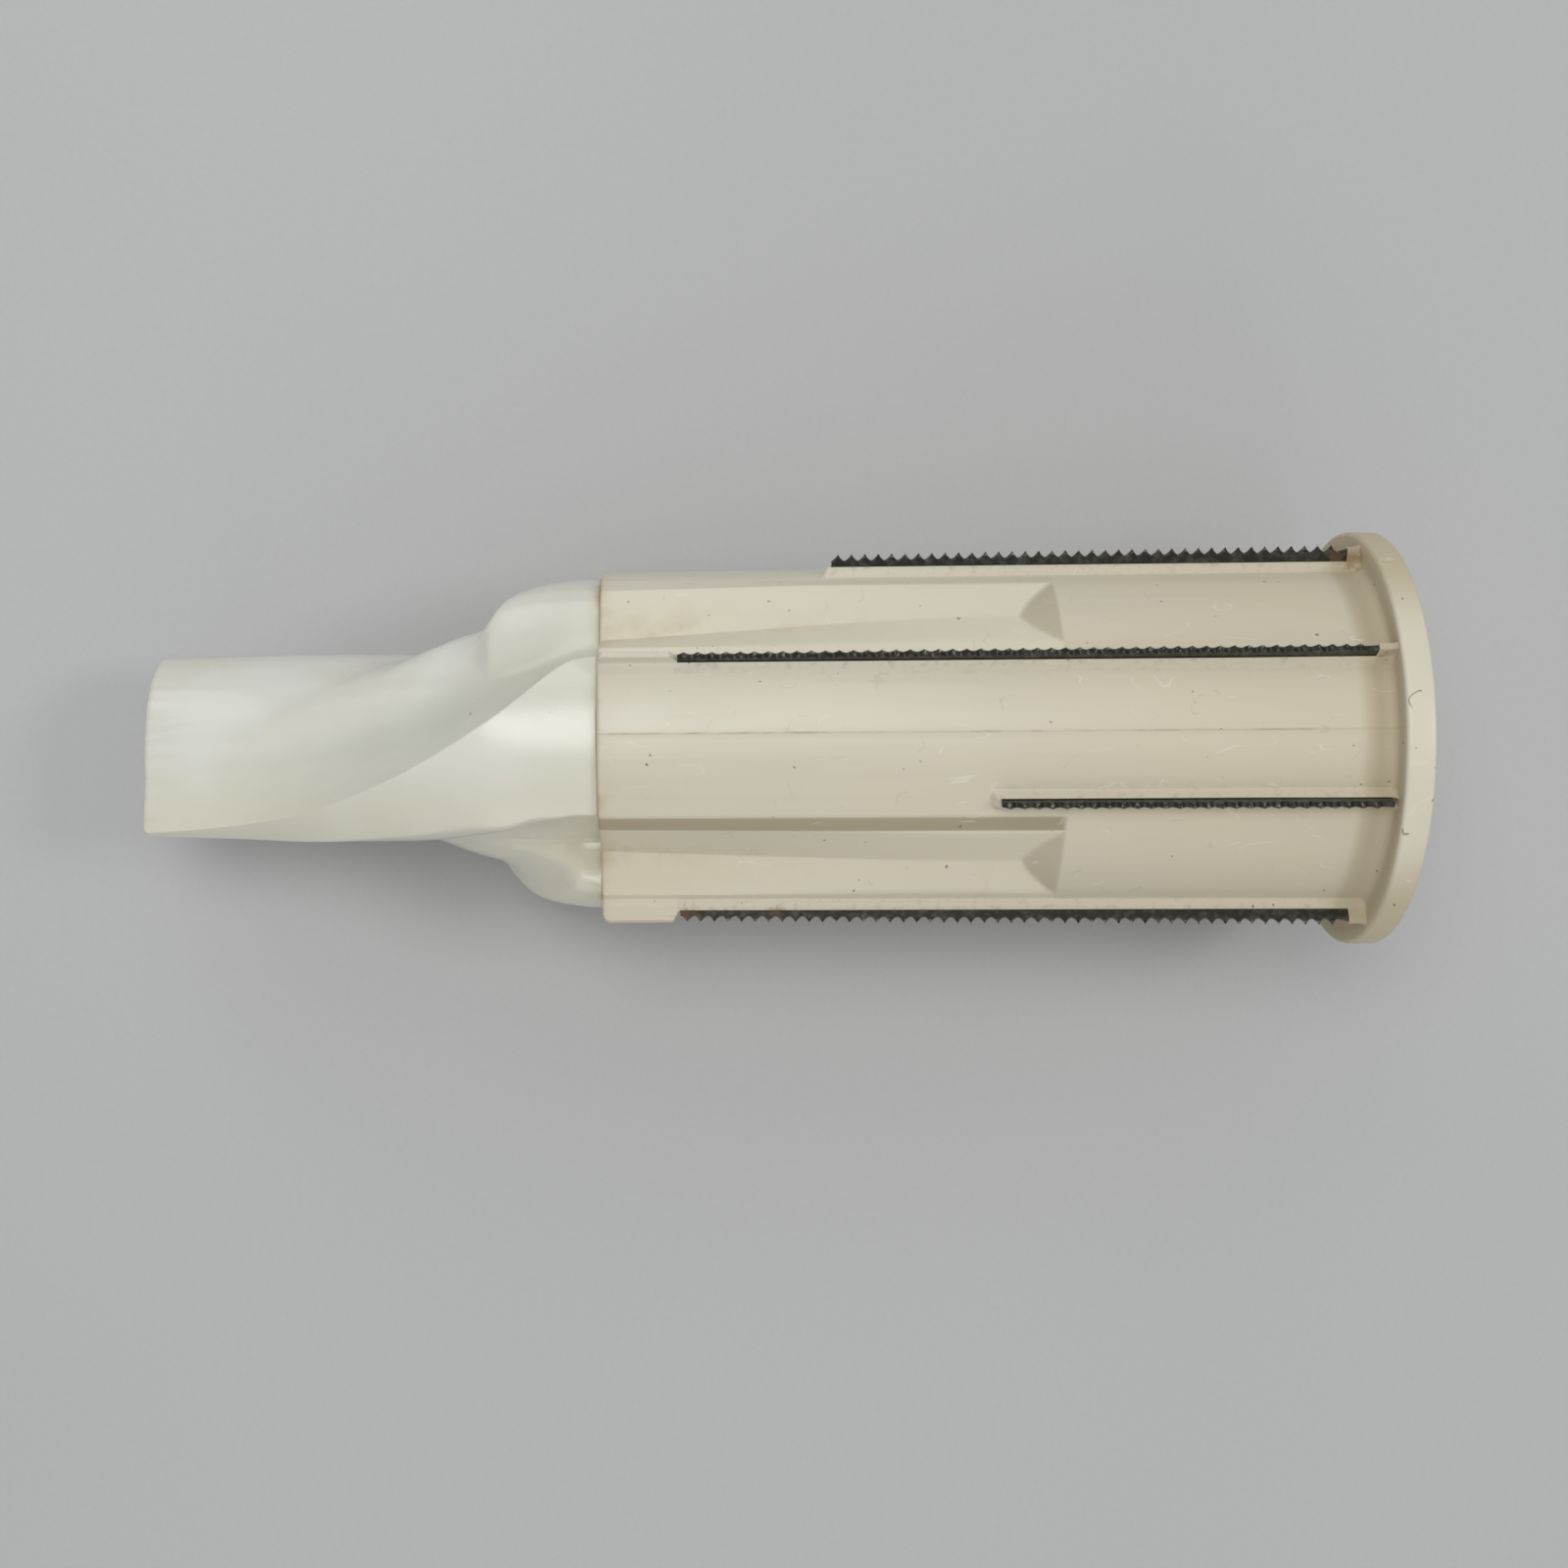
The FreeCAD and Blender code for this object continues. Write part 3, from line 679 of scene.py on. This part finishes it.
def blade_points(length):
    """Rings of ten points around a strip, one for each place along it. The toothed edge
    is at height 0, and each tooth pitch has the same number of places."""
    teeth = int(length / TOOTH_PITCH)
    along = np.linspace(0.0, teeth * TOOTH_PITCH, teeth * PLACES_PER_TOOTH + 1)
    if length - along[-1] > EDGE_BEVEL:
        along = np.append(along, length)
    half = BLADE_THICKNESS / 2

    def edge_height(side):
        """Height of the toothed edge at a sideways place: under each pitch a gullet whose
        depth falls as the 1.8th power of the distance from its centre, less a bevel that
        is widest at the cusps and towards the strip's sides."""
        cusp = np.abs(fold(along + GULLET_SKEW * side, TOOTH_PITCH)) / (TOOTH_PITCH / 2)
        depth = GULLET_DEPTH * (1 - cusp**GULLET_POWER)
        return -depth - TOOTH_BEVEL * np.abs(side) / half * (0.25 + 0.75 * cusp**2)

    profile = [(-half, -BLADE_HEIGHT), (-half, -BLADE_MIDDLE)]
    inner = half - EDGE_BEVEL
    for side in (-half, -inner, 0.0, inner, half):
        drop = EDGE_BEVEL if abs(side) == half else 0.0
        profile.append((side, edge_height(side) - drop))
    profile += [(half, -BLADE_MIDDLE), (half, -BLADE_HEIGHT)]
    columns = []
    for side, height in profile:
        flat = np.zeros_like(along)
        columns.append(np.stack([along, flat + side, flat + height], axis=-1))
    return np.stack(columns, axis=1)


def make_blade(name, kind, angle, material):
    """A flat strip whose upper edge is a row of round gullets. The gullets lean a little
    across the strip, so each cusp is a small slanted point."""
    taper = math.radians(BLADE_TAPER)
    setback = blade_setback(kind)
    points = blade_points((blade_end(kind) - setback) / math.cos(taper))
    vertices, faces = shell(points, close_start=True, close_end=True)
    top = BLADE_TIP_RADIUS + setback * math.tan(taper)
    front = Matrix.Translation((SEAM + setback, 0, top))
    around = Matrix.Rotation(math.radians(-angle), 4, "X")
    turn = np.array(around @ front @ Matrix.Rotation(-taper, 4, "Y"))
    vertices = vertices @ turn[:3, :3].T + turn[:3, 3]
    cusp = np.zeros(points.shape[:2])
    cusp[:, 3:6] = ease((points[:, 3:6, 2] + 0.75) / 0.5)
    piece = name.replace("blade", "strip")
    return add_piece(
        piece, [(vertices, faces)], material, name,
        sharp=25.0, attributes={"cusp": cusp.ravel()},
    )


# ---------------------------------------------------------------- materials

def put(tree, kind, values=None, **settings):
    """Adds a node, sets its own settings, then fills or links its inputs."""
    made = tree.nodes.new(kind)
    for key, value in settings.items():
        setattr(made, key, value)
    for socket, value in (values or {}).items():
        if isinstance(value, bpy.types.NodeSocket):
            tree.links.new(value, made.inputs[socket])
        else:
            made.inputs[socket].default_value = value
    return made


def maths(tree, operation, a, b=0.0):
    return put(tree, "ShaderNodeMath", {0: a, 1: b}, operation=operation).outputs[0]


def step_up(tree, value, low, high):
    """0 below low, 1 above high, and a smooth S between."""
    values = {0: value, 1: low, 2: high}
    return put(tree, "ShaderNodeMapRange", values, interpolation_type="SMOOTHSTEP").outputs[0]


def vary(tree, value, start, end):
    """Turns a value from 0 to 1 into one from start to end."""
    return put(tree, "ShaderNodeMapRange", {0: value, 3: start, 4: end}).outputs[0]


def mix_colours(tree, share, below, above):
    """The colour below, covered by the one above as far as share says."""
    values = {0: share, 6: below, 7: above}
    return put(tree, "ShaderNodeMix", values, data_type="RGBA").outputs[2]


def noise(tree, place, scale, detail=2.0):
    values = {"Vector": place, "Scale": scale, "Detail": detail}
    return put(tree, "ShaderNodeTexNoise", values).outputs[0]


def vector_maths(tree, operation, a, b):
    return put(tree, "ShaderNodeVectorMath", {0: a, 1: b}, operation=operation).outputs[0]


def scaled(tree, place, factors):
    return vector_maths(tree, "MULTIPLY", place, factors)


def faded(tree, value, amount):
    """A mask times a constant or another mask."""
    return maths(tree, "MULTIPLY", value, amount)


def inverse(tree, value):
    return maths(tree, "SUBTRACT", 1.0, value)


def in_millimetres(tree):
    """Object coordinates in millimetres."""
    place = put(tree, "ShaderNodeTexCoord").outputs["Object"]
    return scaled(tree, place, (1 / MM, 1 / MM, 1 / MM))


def mark(tree, name):
    """A mask that is stored with the mesh."""
    return put(tree, "ShaderNodeAttribute", attribute_name=name).outputs["Fac"]


def rgb(red, green, blue):
    return (red, green, blue, 1.0)


def new_group(name, inputs, output):
    """A shader node group with float inputs, a place, and one float output."""
    group = bpy.data.node_groups.new(name, "ShaderNodeTree")
    group.interface.new_socket("Place", in_out="INPUT", socket_type="NodeSocketVector")
    for socket in inputs:
        group.interface.new_socket(socket, in_out="INPUT", socket_type="NodeSocketFloat")
    group.interface.new_socket(output, in_out="OUTPUT", socket_type="NodeSocketFloat")
    return group, put(group, "NodeGroupInput").outputs, put(group, "NodeGroupOutput").inputs[output]


def make_specks_group():
    """Small dark specks: one at most in each cell, in a share of the cells only."""
    group, given, mask = new_group("specks", ("Spacing", "Size", "Share"), "Mask")
    values = {"Vector": given["Place"], "Scale": 2.2, "Detail": 2.0}
    bent = put(group, "ShaderNodeTexNoise", values).outputs["Color"]
    bent = put(group, "ShaderNodeVectorMath", {0: bent, "Scale": 0.7}, operation="SCALE").outputs[0]
    bent = vector_maths(group, "ADD", given["Place"], bent)
    values = {"Vector": bent, "Scale": maths(group, "DIVIDE", 1.0, given["Spacing"])}
    cells = put(group, "ShaderNodeTexVoronoi", values)
    channels = put(group, "ShaderNodeSeparateColor", {0: cells.outputs["Color"]}).outputs
    chosen = maths(group, "LESS_THAN", channels[0], given["Share"])
    size = faded(group, given["Size"], vary(group, channels[1], 0.35, 1.0))
    size = maths(group, "DIVIDE", size, given["Spacing"])
    outside = step_up(group, cells.outputs["Distance"], faded(group, size, 0.6), size)
    group.links.new(faded(group, inverse(group, outside), chosen), mask)
    return group


def make_hairs_group():
    """Short thin curved marks: a contour line of a slow noise, kept where another is high."""
    group, given, mask = new_group("hair_marks", ("Scale", "Width", "Amount"), "Mask")
    slow = noise(group, given["Place"], given["Scale"], 1.0)
    line = maths(group, "ABSOLUTE", maths(group, "SUBTRACT", slow, 0.5))
    core = faded(group, given["Width"], 0.4)
    line = inverse(group, step_up(group, line, core, given["Width"]))
    moved = vector_maths(group, "ADD", given["Place"], (31.0, 7.0, 13.0))
    kept = noise(group, moved, faded(group, given["Scale"], 1.6), 0.0)
    limit = inverse(group, given["Amount"])
    kept = step_up(group, kept, limit, maths(group, "ADD", limit, 0.03))
    group.links.new(faded(group, line, kept), mask)
    return group


def make_streaks_group():
    """Faint streaks along the rotor: a noise that is stretched along X."""
    group, given, value = new_group("axial_streaks", ("Fineness",), "Value")
    drawn_out = scaled(group, given["Place"], (0.035, 1.0, 1.0))
    group.links.new(noise(group, drawn_out, given["Fineness"], 3.0), value)
    return group


def make_stain_group():
    """A blot around a point: full near it, fading by its reach, with an uneven outline."""
    group, given, mask = new_group("stain", ("X", "Y", "Z", "Reach"), "Mask")
    values = {0: given["X"], 1: given["Y"], 2: given["Z"]}
    centre = put(group, "ShaderNodeCombineXYZ", values).outputs[0]
    values = {0: given["Place"], 1: centre}
    apart = put(group, "ShaderNodeVectorMath", values, operation="DISTANCE").outputs["Value"]
    ragged = vary(group, noise(group, given["Place"], 1.3, 3.0), -1.0, 1.0)
    apart = maths(group, "ADD", apart, faded(group, ragged, given["Reach"]))
    start = faded(group, given["Reach"], 0.25)
    group.links.new(inverse(group, step_up(group, apart, start, given["Reach"])), mask)
    return group


def make_grain_group():
    """Height of moulded plastic: a fine grain and shallow scratches along the rotor."""
    group, given, height = new_group("moulded_grain", ("Grain", "Scratches"), "Height")
    fine = faded(group, noise(group, given["Place"], 3.5, 3.0), given["Grain"])
    slow = faded(group, noise(group, given["Place"], 0.22, 1.0), given["Grain"])
    drawn_out = scaled(group, given["Place"], (0.05, 1.0, 1.0))
    scratch = faded(group, noise(group, drawn_out, 2.4, 4.0), given["Scratches"])
    both = maths(group, "ADD", fine, faded(group, slow, 2.5))
    group.links.new(maths(group, "ADD", both, scratch), height)
    return group


def use(tree, group, place, **values):
    """Places a group in a tree with its own values, and gives its output."""
    made = put(tree, "ShaderNodeGroup", node_tree=group)
    tree.links.new(place, made.inputs["Place"])
    for socket, value in values.items():
        made.inputs[socket].default_value = value
    return made.outputs[0]


def new_material(name):
    material = bpy.data.materials.new(name)
    material.use_nodes = True
    tree = material.node_tree
    return material, tree, tree.nodes["Principled BSDF"]


def strip_point(angle, radius, x):
    """A point of the frame in millimetres, beside a strip."""
    turn = math.radians(BLADE_PHASE + angle)
    return (x, radius * math.sin(turn), radius * math.cos(turn))


GROUPS = {
    "specks": make_specks_group(),
    "hairs": make_hairs_group(),
    "streaks": make_streaks_group(),
    "stain": make_stain_group(),
    "grain": make_grain_group(),
}


def blot(tree, place, centre, reach):
    x, y, z = centre
    return use(tree, GROUPS["stain"], place, X=x, Y=y, Z=z, Reach=reach)


ROUGHNESS_SWING = 0.07


def cover(tree, colour, mask, amount, above):
    """Lays a colour over another, by a mask and the most that it covers."""
    return mix_colours(tree, faded(tree, mask, amount), colour, above)


def rough_and_bump(tree, shader, place, roughness, dirt_and_shade, grain, scratches):
    """Roughness that follows slow patches and a dirt mask, which on the drum also carries painted
    shade, and the moulded bump.
    """
    slow = noise(tree, place, 0.12, 3.0)
    patches = vary(tree, slow, roughness - ROUGHNESS_SWING, roughness + ROUGHNESS_SWING)
    total = maths(tree, "ADD", patches, faded(tree, dirt_and_shade, 0.25))
    tree.links.new(total, shader.inputs["Roughness"])
    height = use(tree, GROUPS["grain"], place, Grain=grain, Scratches=scratches)
    bump = put(tree, "ShaderNodeBump", {"Height": height, "Strength": 0.3, "Distance": 0.0001})
    tree.links.new(bump.outputs["Normal"], shader.inputs["Normal"])


def ivory_plastic():
    """White ivory nose: slightly greenish slow patches, faint streaks, a few specks, and
    brown grime where it meets the drum."""
    material, tree, shader = new_material("ivory_plastic")
    place = in_millimetres(tree)
    along, across, _ = put(tree, "ShaderNodeSeparateXYZ", {0: place}).outputs
    streaks = use(tree, GROUPS["streaks"], place, Fineness=0.5)
    patches = step_up(tree, noise(tree, place, 0.07, 3.0), 0.38, 0.66)
    colour = mix_colours(tree, patches, rgb(0.77, 0.77, 0.70), rgb(0.72, 0.71, 0.61))
    colour = cover(tree, colour, streaks, 0.4, rgb(0.62, 0.62, 0.53))
    yellowed = step_up(tree, along, TIP + 38.0, SEAM)
    colour = cover(tree, colour, yellowed, 0.5, rgb(0.71, 0.68, 0.555))
    tip_wear = inverse(tree, step_up(tree, along, TIP, TIP + 9.0))
    tip_wear = faded(tree, tip_wear, step_up(tree, streaks, 0.45, 0.7))
    colour = cover(tree, colour, tip_wear, 0.5, rgb(0.62, 0.60, 0.50))
    # Grime with painted shade in the hollow at each ridge's foot.
    colour = cover(tree, colour, mark(tree, "ridge_foot"), 0.6, rgb(0.56, 0.56, 0.46))
    low_side = inverse(tree, step_up(tree, across, -11.0, 0.0))
    colour = cover(tree, colour, low_side, 0.55, rgb(0.69, 0.64, 0.50))
    shoulders = step_up(tree, maths(tree, "ABSOLUTE", across), 13.0, 20.0)
    uneven = vary(tree, step_up(tree, noise(tree, place, 0.16, 1.0), 0.35, 0.6), 0.3, 1.0)
    seam = faded(tree, mark(tree, "near_seam"), uneven)
    seam = faded(tree, seam, vary(tree, shoulders, 0.35, 1.0))
    colour = mix_colours(tree, seam, colour, rgb(0.42, 0.30, 0.16))
    specks = use(tree, GROUPS["specks"], place, Spacing=6.0, Size=0.32, Share=0.5)
    colour = cover(tree, colour, specks, 0.75, rgb(0.12, 0.10, 0.08))
    tree.links.new(colour, shader.inputs["Base Color"])
    rough_and_bump(tree, shader, place, 0.25, seam, 0.05, 0.15)
    shader.inputs["Specular IOR Level"].default_value = 0.55
    shader.inputs["Coat Weight"].default_value = 0.25
    shader.inputs["Coat Roughness"].default_value = 0.18
    return material


# Dirt and painted shade on the drum: mask, most that it covers, kind of unevenness, colour.
DRUM_DIRT_AND_SHADE = (
    # The crease row is dirt with painted shade, darker the deeper the flute.
    ("crease", 0.6, "smudge", rgb(0.56, 0.48, 0.30)),
    # The lip row darkens each flute's far edge, most on the lower side.
    ("lip", 0.9, "underside", rgb(0.33, 0.275, 0.17)),
    # The ramp row is painted shade on the slope at each flute's end.
    ("ramp", 0.6, None, rgb(0.42, 0.37, 0.25)),
    # The near_strip row is dirt with painted shade at the foot of each strip.
    ("near_strip", 0.6, "fine_smudge", rgb(0.34, 0.30, 0.24)),
    # Painted shadow cast by the flange on the drum before it.
    ("flange_shadow", 0.8, None, rgb(0.49, 0.415, 0.275)),
    ("near_seam", 0.7, "smudge", rgb(0.42, 0.32, 0.18)),
    ("parting", 0.75, "smudge", rgb(0.33, 0.25, 0.15)),
)
# Rust beside strip ends: angle from the first long strip, place, radius and reach.
DRUM_RUST = (
    (1.2, FLANGE_FRONT - 1.6, 28.6, 1.9),
    (44.0, FLANGE_FRONT - 1.0, 28.6, 2.3),
    (-90.0, SEAM + 12.4, 28.4, 2.2),
    (-90.0, SEAM + 18.0, 28.2, 1.3),
    (-90.0, SEAM + 25.5, 28.2, 1.8),
)


def cream_plastic():
    """Satin cream drum: yellower towards the flange and on the lower side, faint axial
    streaks, dirt with painted shade beside the strips and in the flutes, painted shade on
    the flutes' ramps, a painted shadow of the flange before it, the flutes' far edges made
    darker (most on the lower side), rust at some strip ends, a tan rim, specks and thin curved
    marks."""
    material, tree, shader = new_material("cream_plastic")
    place = in_millimetres(tree)
    along, across, _ = put(tree, "ShaderNodeSeparateXYZ", {0: place}).outputs
    along = step_up(tree, along, SEAM, REAR)
    colour = mix_colours(tree, along, rgb(0.68, 0.645, 0.53), rgb(0.63, 0.56, 0.405))
    drawn_out = scaled(tree, place, (0.4, 1.0, 1.0))
    patches = step_up(tree, noise(tree, drawn_out, 0.09, 3.0), 0.35, 0.7)
    colour = cover(tree, colour, patches, 0.5, rgb(0.61, 0.57, 0.455))
    streaks = step_up(tree, use(tree, GROUPS["streaks"], place, Fineness=0.8), 0.45, 0.75)
    colour = cover(tree, colour, streaks, 0.22, rgb(0.56, 0.51, 0.40))
    smudge = step_up(tree, noise(tree, place, 0.28, 4.0), 0.42, 0.7)
    fine_smudge = step_up(tree, noise(tree, place, 0.9, 3.0), 0.5, 0.72)
    colour = cover(tree, colour, mark(tree, "flute"), 0.75, rgb(0.745, 0.70, 0.545))
    outer = step_up(tree, maths(tree, "ABSOLUTE", across), 14.0, 26.0)
    underside = inverse(tree, step_up(tree, across, -14.0, 8.0))
    kinds = {
        "smudge": vary(tree, smudge, 0.3, 1.0),
        "fine_smudge": vary(tree, fine_smudge, 0.25, 1.0),
        "underside": vary(tree, underside, 0.08, 1.0),
    }
    colour = cover(tree, colour, kinds["underside"], 0.45, rgb(0.60, 0.535, 0.385))
    # Dirt and painted shade laid on row by row; their masks also make the surface rougher.
    dirt_and_shade = 0.0
    for name, amount, uneven, dirt_and_shade_colour in DRUM_DIRT_AND_SHADE:
        mask = faded(tree, mark(tree, name), amount)
        if uneven is not None:
            mask = faded(tree, mask, kinds[uneven])
        dirt_and_shade = maths(tree, "MAXIMUM", mask, dirt_and_shade)
        colour = mix_colours(tree, mask, colour, dirt_and_shade_colour)
    colour = cover(tree, colour, mark(tree, "rim"), 0.7, rgb(0.72, 0.68, 0.555))
    outer = faded(tree, outer, mark(tree, "rim"))
    colour = cover(tree, colour, outer, 0.85, rgb(0.52, 0.44, 0.275))
    for angle, x, radius, reach in DRUM_RUST:
        rust = blot(tree, place, strip_point(angle, radius, x), reach)
        colour = cover(tree, colour, rust, 0.7, rgb(0.30, 0.185, 0.07))
    specks = use(tree, GROUPS["specks"], place, Spacing=3.0, Size=0.30, Share=0.7)
    colour = cover(tree, colour, specks, 0.8, rgb(0.08, 0.07, 0.06))
    hairs = use(tree, GROUPS["hairs"], place, Scale=0.17, Width=0.010, Amount=0.33)
    hairs = faded(tree, hairs, vary(tree, mark(tree, "rim"), 0.15, 0.9))
    colour = mix_colours(tree, hairs, colour, rgb(0.30, 0.24, 0.18))
    squeezed = scaled(tree, place, (0.5, 1.3, 1.3))
    scrapes = use(tree, GROUPS["hairs"], squeezed, Scale=0.21, Width=0.009, Amount=0.36)
    colour = cover(tree, colour, scrapes, 0.35, rgb(0.78, 0.75, 0.66))
    tree.links.new(colour, shader.inputs["Base Color"])
    rough_and_bump(tree, shader, place, 0.36, dirt_and_shade, 0.12, 0.35)
    shader.inputs["Specular IOR Level"].default_value = 0.5
    return material


# Rust on the strips themselves: angle, place and reach.
STRIP_RUST = (
    (-90.0, SEAM + 12.5, 2.4),
    (-90.0, SEAM + 25.5, 1.6),
    (45.0, FLANGE_FRONT - 3.5, 2.0),
)
STRIP_RUST_RADIUS = 28.8


def blade_steel():
    """Dark toothed steel with cusps lightened by wear and by painted glints, grime in the gullets
    and a little rust.
    """
    material, tree, shader = new_material("blade_steel")
    place = in_millimetres(tree)
    worn = step_up(tree, noise(tree, place, 0.9, 4.0), 0.42, 0.72)
    colour = mix_colours(tree, worn, rgb(0.048, 0.045, 0.038), rgb(0.105, 0.10, 0.085))
    # Painted glints: noisy spots on the cusps are lightened for highlights on the steel, and for
    # wear.
    glint = step_up(tree, noise(tree, place, 1.7, 2.0), 0.48, 0.62)
    colour = cover(tree, colour, mark(tree, "cusp"), glint, rgb(0.42, 0.41, 0.38))
    grime = step_up(tree, noise(tree, place, 0.5, 3.0), 0.55, 0.75)
    rust = use(tree, GROUPS["specks"], place, Spacing=7.0, Size=1.5, Share=0.12)
    for angle, x, reach in STRIP_RUST:
        spot = blot(tree, place, strip_point(angle, STRIP_RUST_RADIUS, x), reach)
        rust = maths(tree, "MAXIMUM", rust, spot)
    rust = faded(tree, rust, 0.8)
    colour = mix_colours(tree, rust, colour, rgb(0.13, 0.075, 0.04))
    tree.links.new(colour, shader.inputs["Base Color"])
    dull = maths(tree, "MAXIMUM", rust, faded(tree, grime, 0.5))
    tree.links.new(vary(tree, dull, 0.8, 0.1), shader.inputs["Metallic"])
    tree.links.new(vary(tree, dull, 0.36, 0.75), shader.inputs["Roughness"])
    height = noise(tree, scaled(tree, place, (0.3, 1.0, 1.0)), 5.0, 3.0)
    bump = put(tree, "ShaderNodeBump", {"Height": height, "Strength": 0.3, "Distance": 0.00008})
    tree.links.new(bump.outputs["Normal"], shader.inputs["Normal"])
    return material


# ---------------------------------------------------------------- stage

def aim(obj, target):
    obj.rotation_mode = "QUATERNION"
    obj.rotation_quaternion = (Vector(target) - obj.location).to_track_quat("-Z", "Y")


CAMERA_HEIGHT = 316.97
CAMERA_LENS = 47.37
CAMERA_SENSOR = 36.0
CAMERA_X = 0.595 - 91.05
CAMERA_Y = -6.401
CAMERA_TILTS = (-0.0017, 0.0365, 0.0076)


def make_camera():
    """The camera hangs above the cutter and looks almost straight down."""
    tilt_x, tilt_y, tilt_z = CAMERA_TILTS
    view = Matrix.Rotation(tilt_z, 3, "Z") @ Matrix.Rotation(tilt_y, 3, "Y")
    view = view @ Matrix.Rotation(tilt_x, 3, "X")
    back = view.transposed()
    data = bpy.data.cameras.new("camera")
    data.lens = CAMERA_LENS
    data.sensor_width = CAMERA_SENSOR
    camera = bpy.data.objects.new("camera", data)
    place = Vector((CAMERA_X, CAMERA_Y, 0)) + back @ Vector((0, 0, CAMERA_HEIGHT))
    camera.matrix_world = Matrix.Translation(place * MM) @ back.to_4x4()
    bpy.context.scene.collection.objects.link(camera)
    bpy.context.scene.camera = camera


FLOOR_LEAN = math.radians(2.77)
FLOOR_HALF_SIZE = 12.0


def make_floor():
    """A pale table that touches the flange's rim and the front of the long strips."""
    material, tree, shader = new_material("table")
    place = in_millimetres(tree)
    cloudy = vary(tree, noise(tree, place, 0.006, 2.0), 0.30, 0.72)
    colour = mix_colours(tree, cloudy, rgb(0.46, 0.46, 0.455), rgb(0.56, 0.56, 0.555))
    grain = vary(tree, noise(tree, place, 1.1, 2.0), 0.0, 0.16)
    colour = mix_colours(tree, grain, colour, rgb(0.30, 0.30, 0.30))
    tree.links.new(colour, shader.inputs["Base Color"])
    shader.inputs["Roughness"].default_value = 0.62
    size = FLOOR_HALF_SIZE
    corners = [(-size, -size, 0), (size, -size, 0), (size, size, 0), (-size, size, 0)]
    mesh = bpy.data.meshes.new("table")
    mesh.from_pydata(corners, [], [(0, 1, 2, 3)])
    mesh.materials.append(material)
    floor = bpy.data.objects.new("table", mesh)
    contact = Vector((-1.0, 0, -FLANGE_RADIUS)) * MM
    floor.matrix_world = Matrix.Translation(contact) @ Matrix.Rotation(FLOOR_LEAN, 4, "Y")
    bpy.context.scene.collection.objects.link(floor)


# Each light: its name, its place from the middle of the cutter, its size and its power.
LIGHTS = (
    ("overhead", (-0.1, 0.16, 0.85), 0.4, 2.3),
    ("end_light", (0.6, 0.05, 0.68), 0.22, 1.2),
    ("near_fill", (0.0, -0.75, 0.35), 0.6, 1.1),
    ("far_fill", (-0.2, 0.75, 0.45), 0.6, 1.15),
)
SURROUND_STRENGTH = 0.42


def make_lights():
    """A soft light overhead, one beyond the flange, a low broad fill from each side, and
    an even surround."""
    world = bpy.data.worlds.new("surround")
    world.use_nodes = True
    background = world.node_tree.nodes["Background"].inputs
    background["Color"].default_value = rgb(0.95, 0.97, 1.0)
    background["Strength"].default_value = SURROUND_STRENGTH
    bpy.context.scene.world = world
    centre = Vector(((TIP + REAR) / 2 * MM, 0, 0))
    for name, offset, size, power in LIGHTS:
        data = bpy.data.lights.new(name, "AREA")
        data.size = size
        data.energy = power
        light = bpy.data.objects.new(name, data)
        light.location = centre + Vector(offset)
        aim(light, centre)
        bpy.context.scene.collection.objects.link(light)
    bpy.context.scene.view_settings.view_transform = "Standard"


make_camera()
make_lights()
make_floor()
make_nose(ivory_plastic())
make_drum(cream_plastic())
steel = blade_steel()
for kind, count, turn in BLADE_SETS:
    for index in range(count):
        angle = BLADE_PHASE + turn + index * FULL_TURN / count
        make_blade(f"blade_{kind}_{index + 1}", kind, angle, steel)
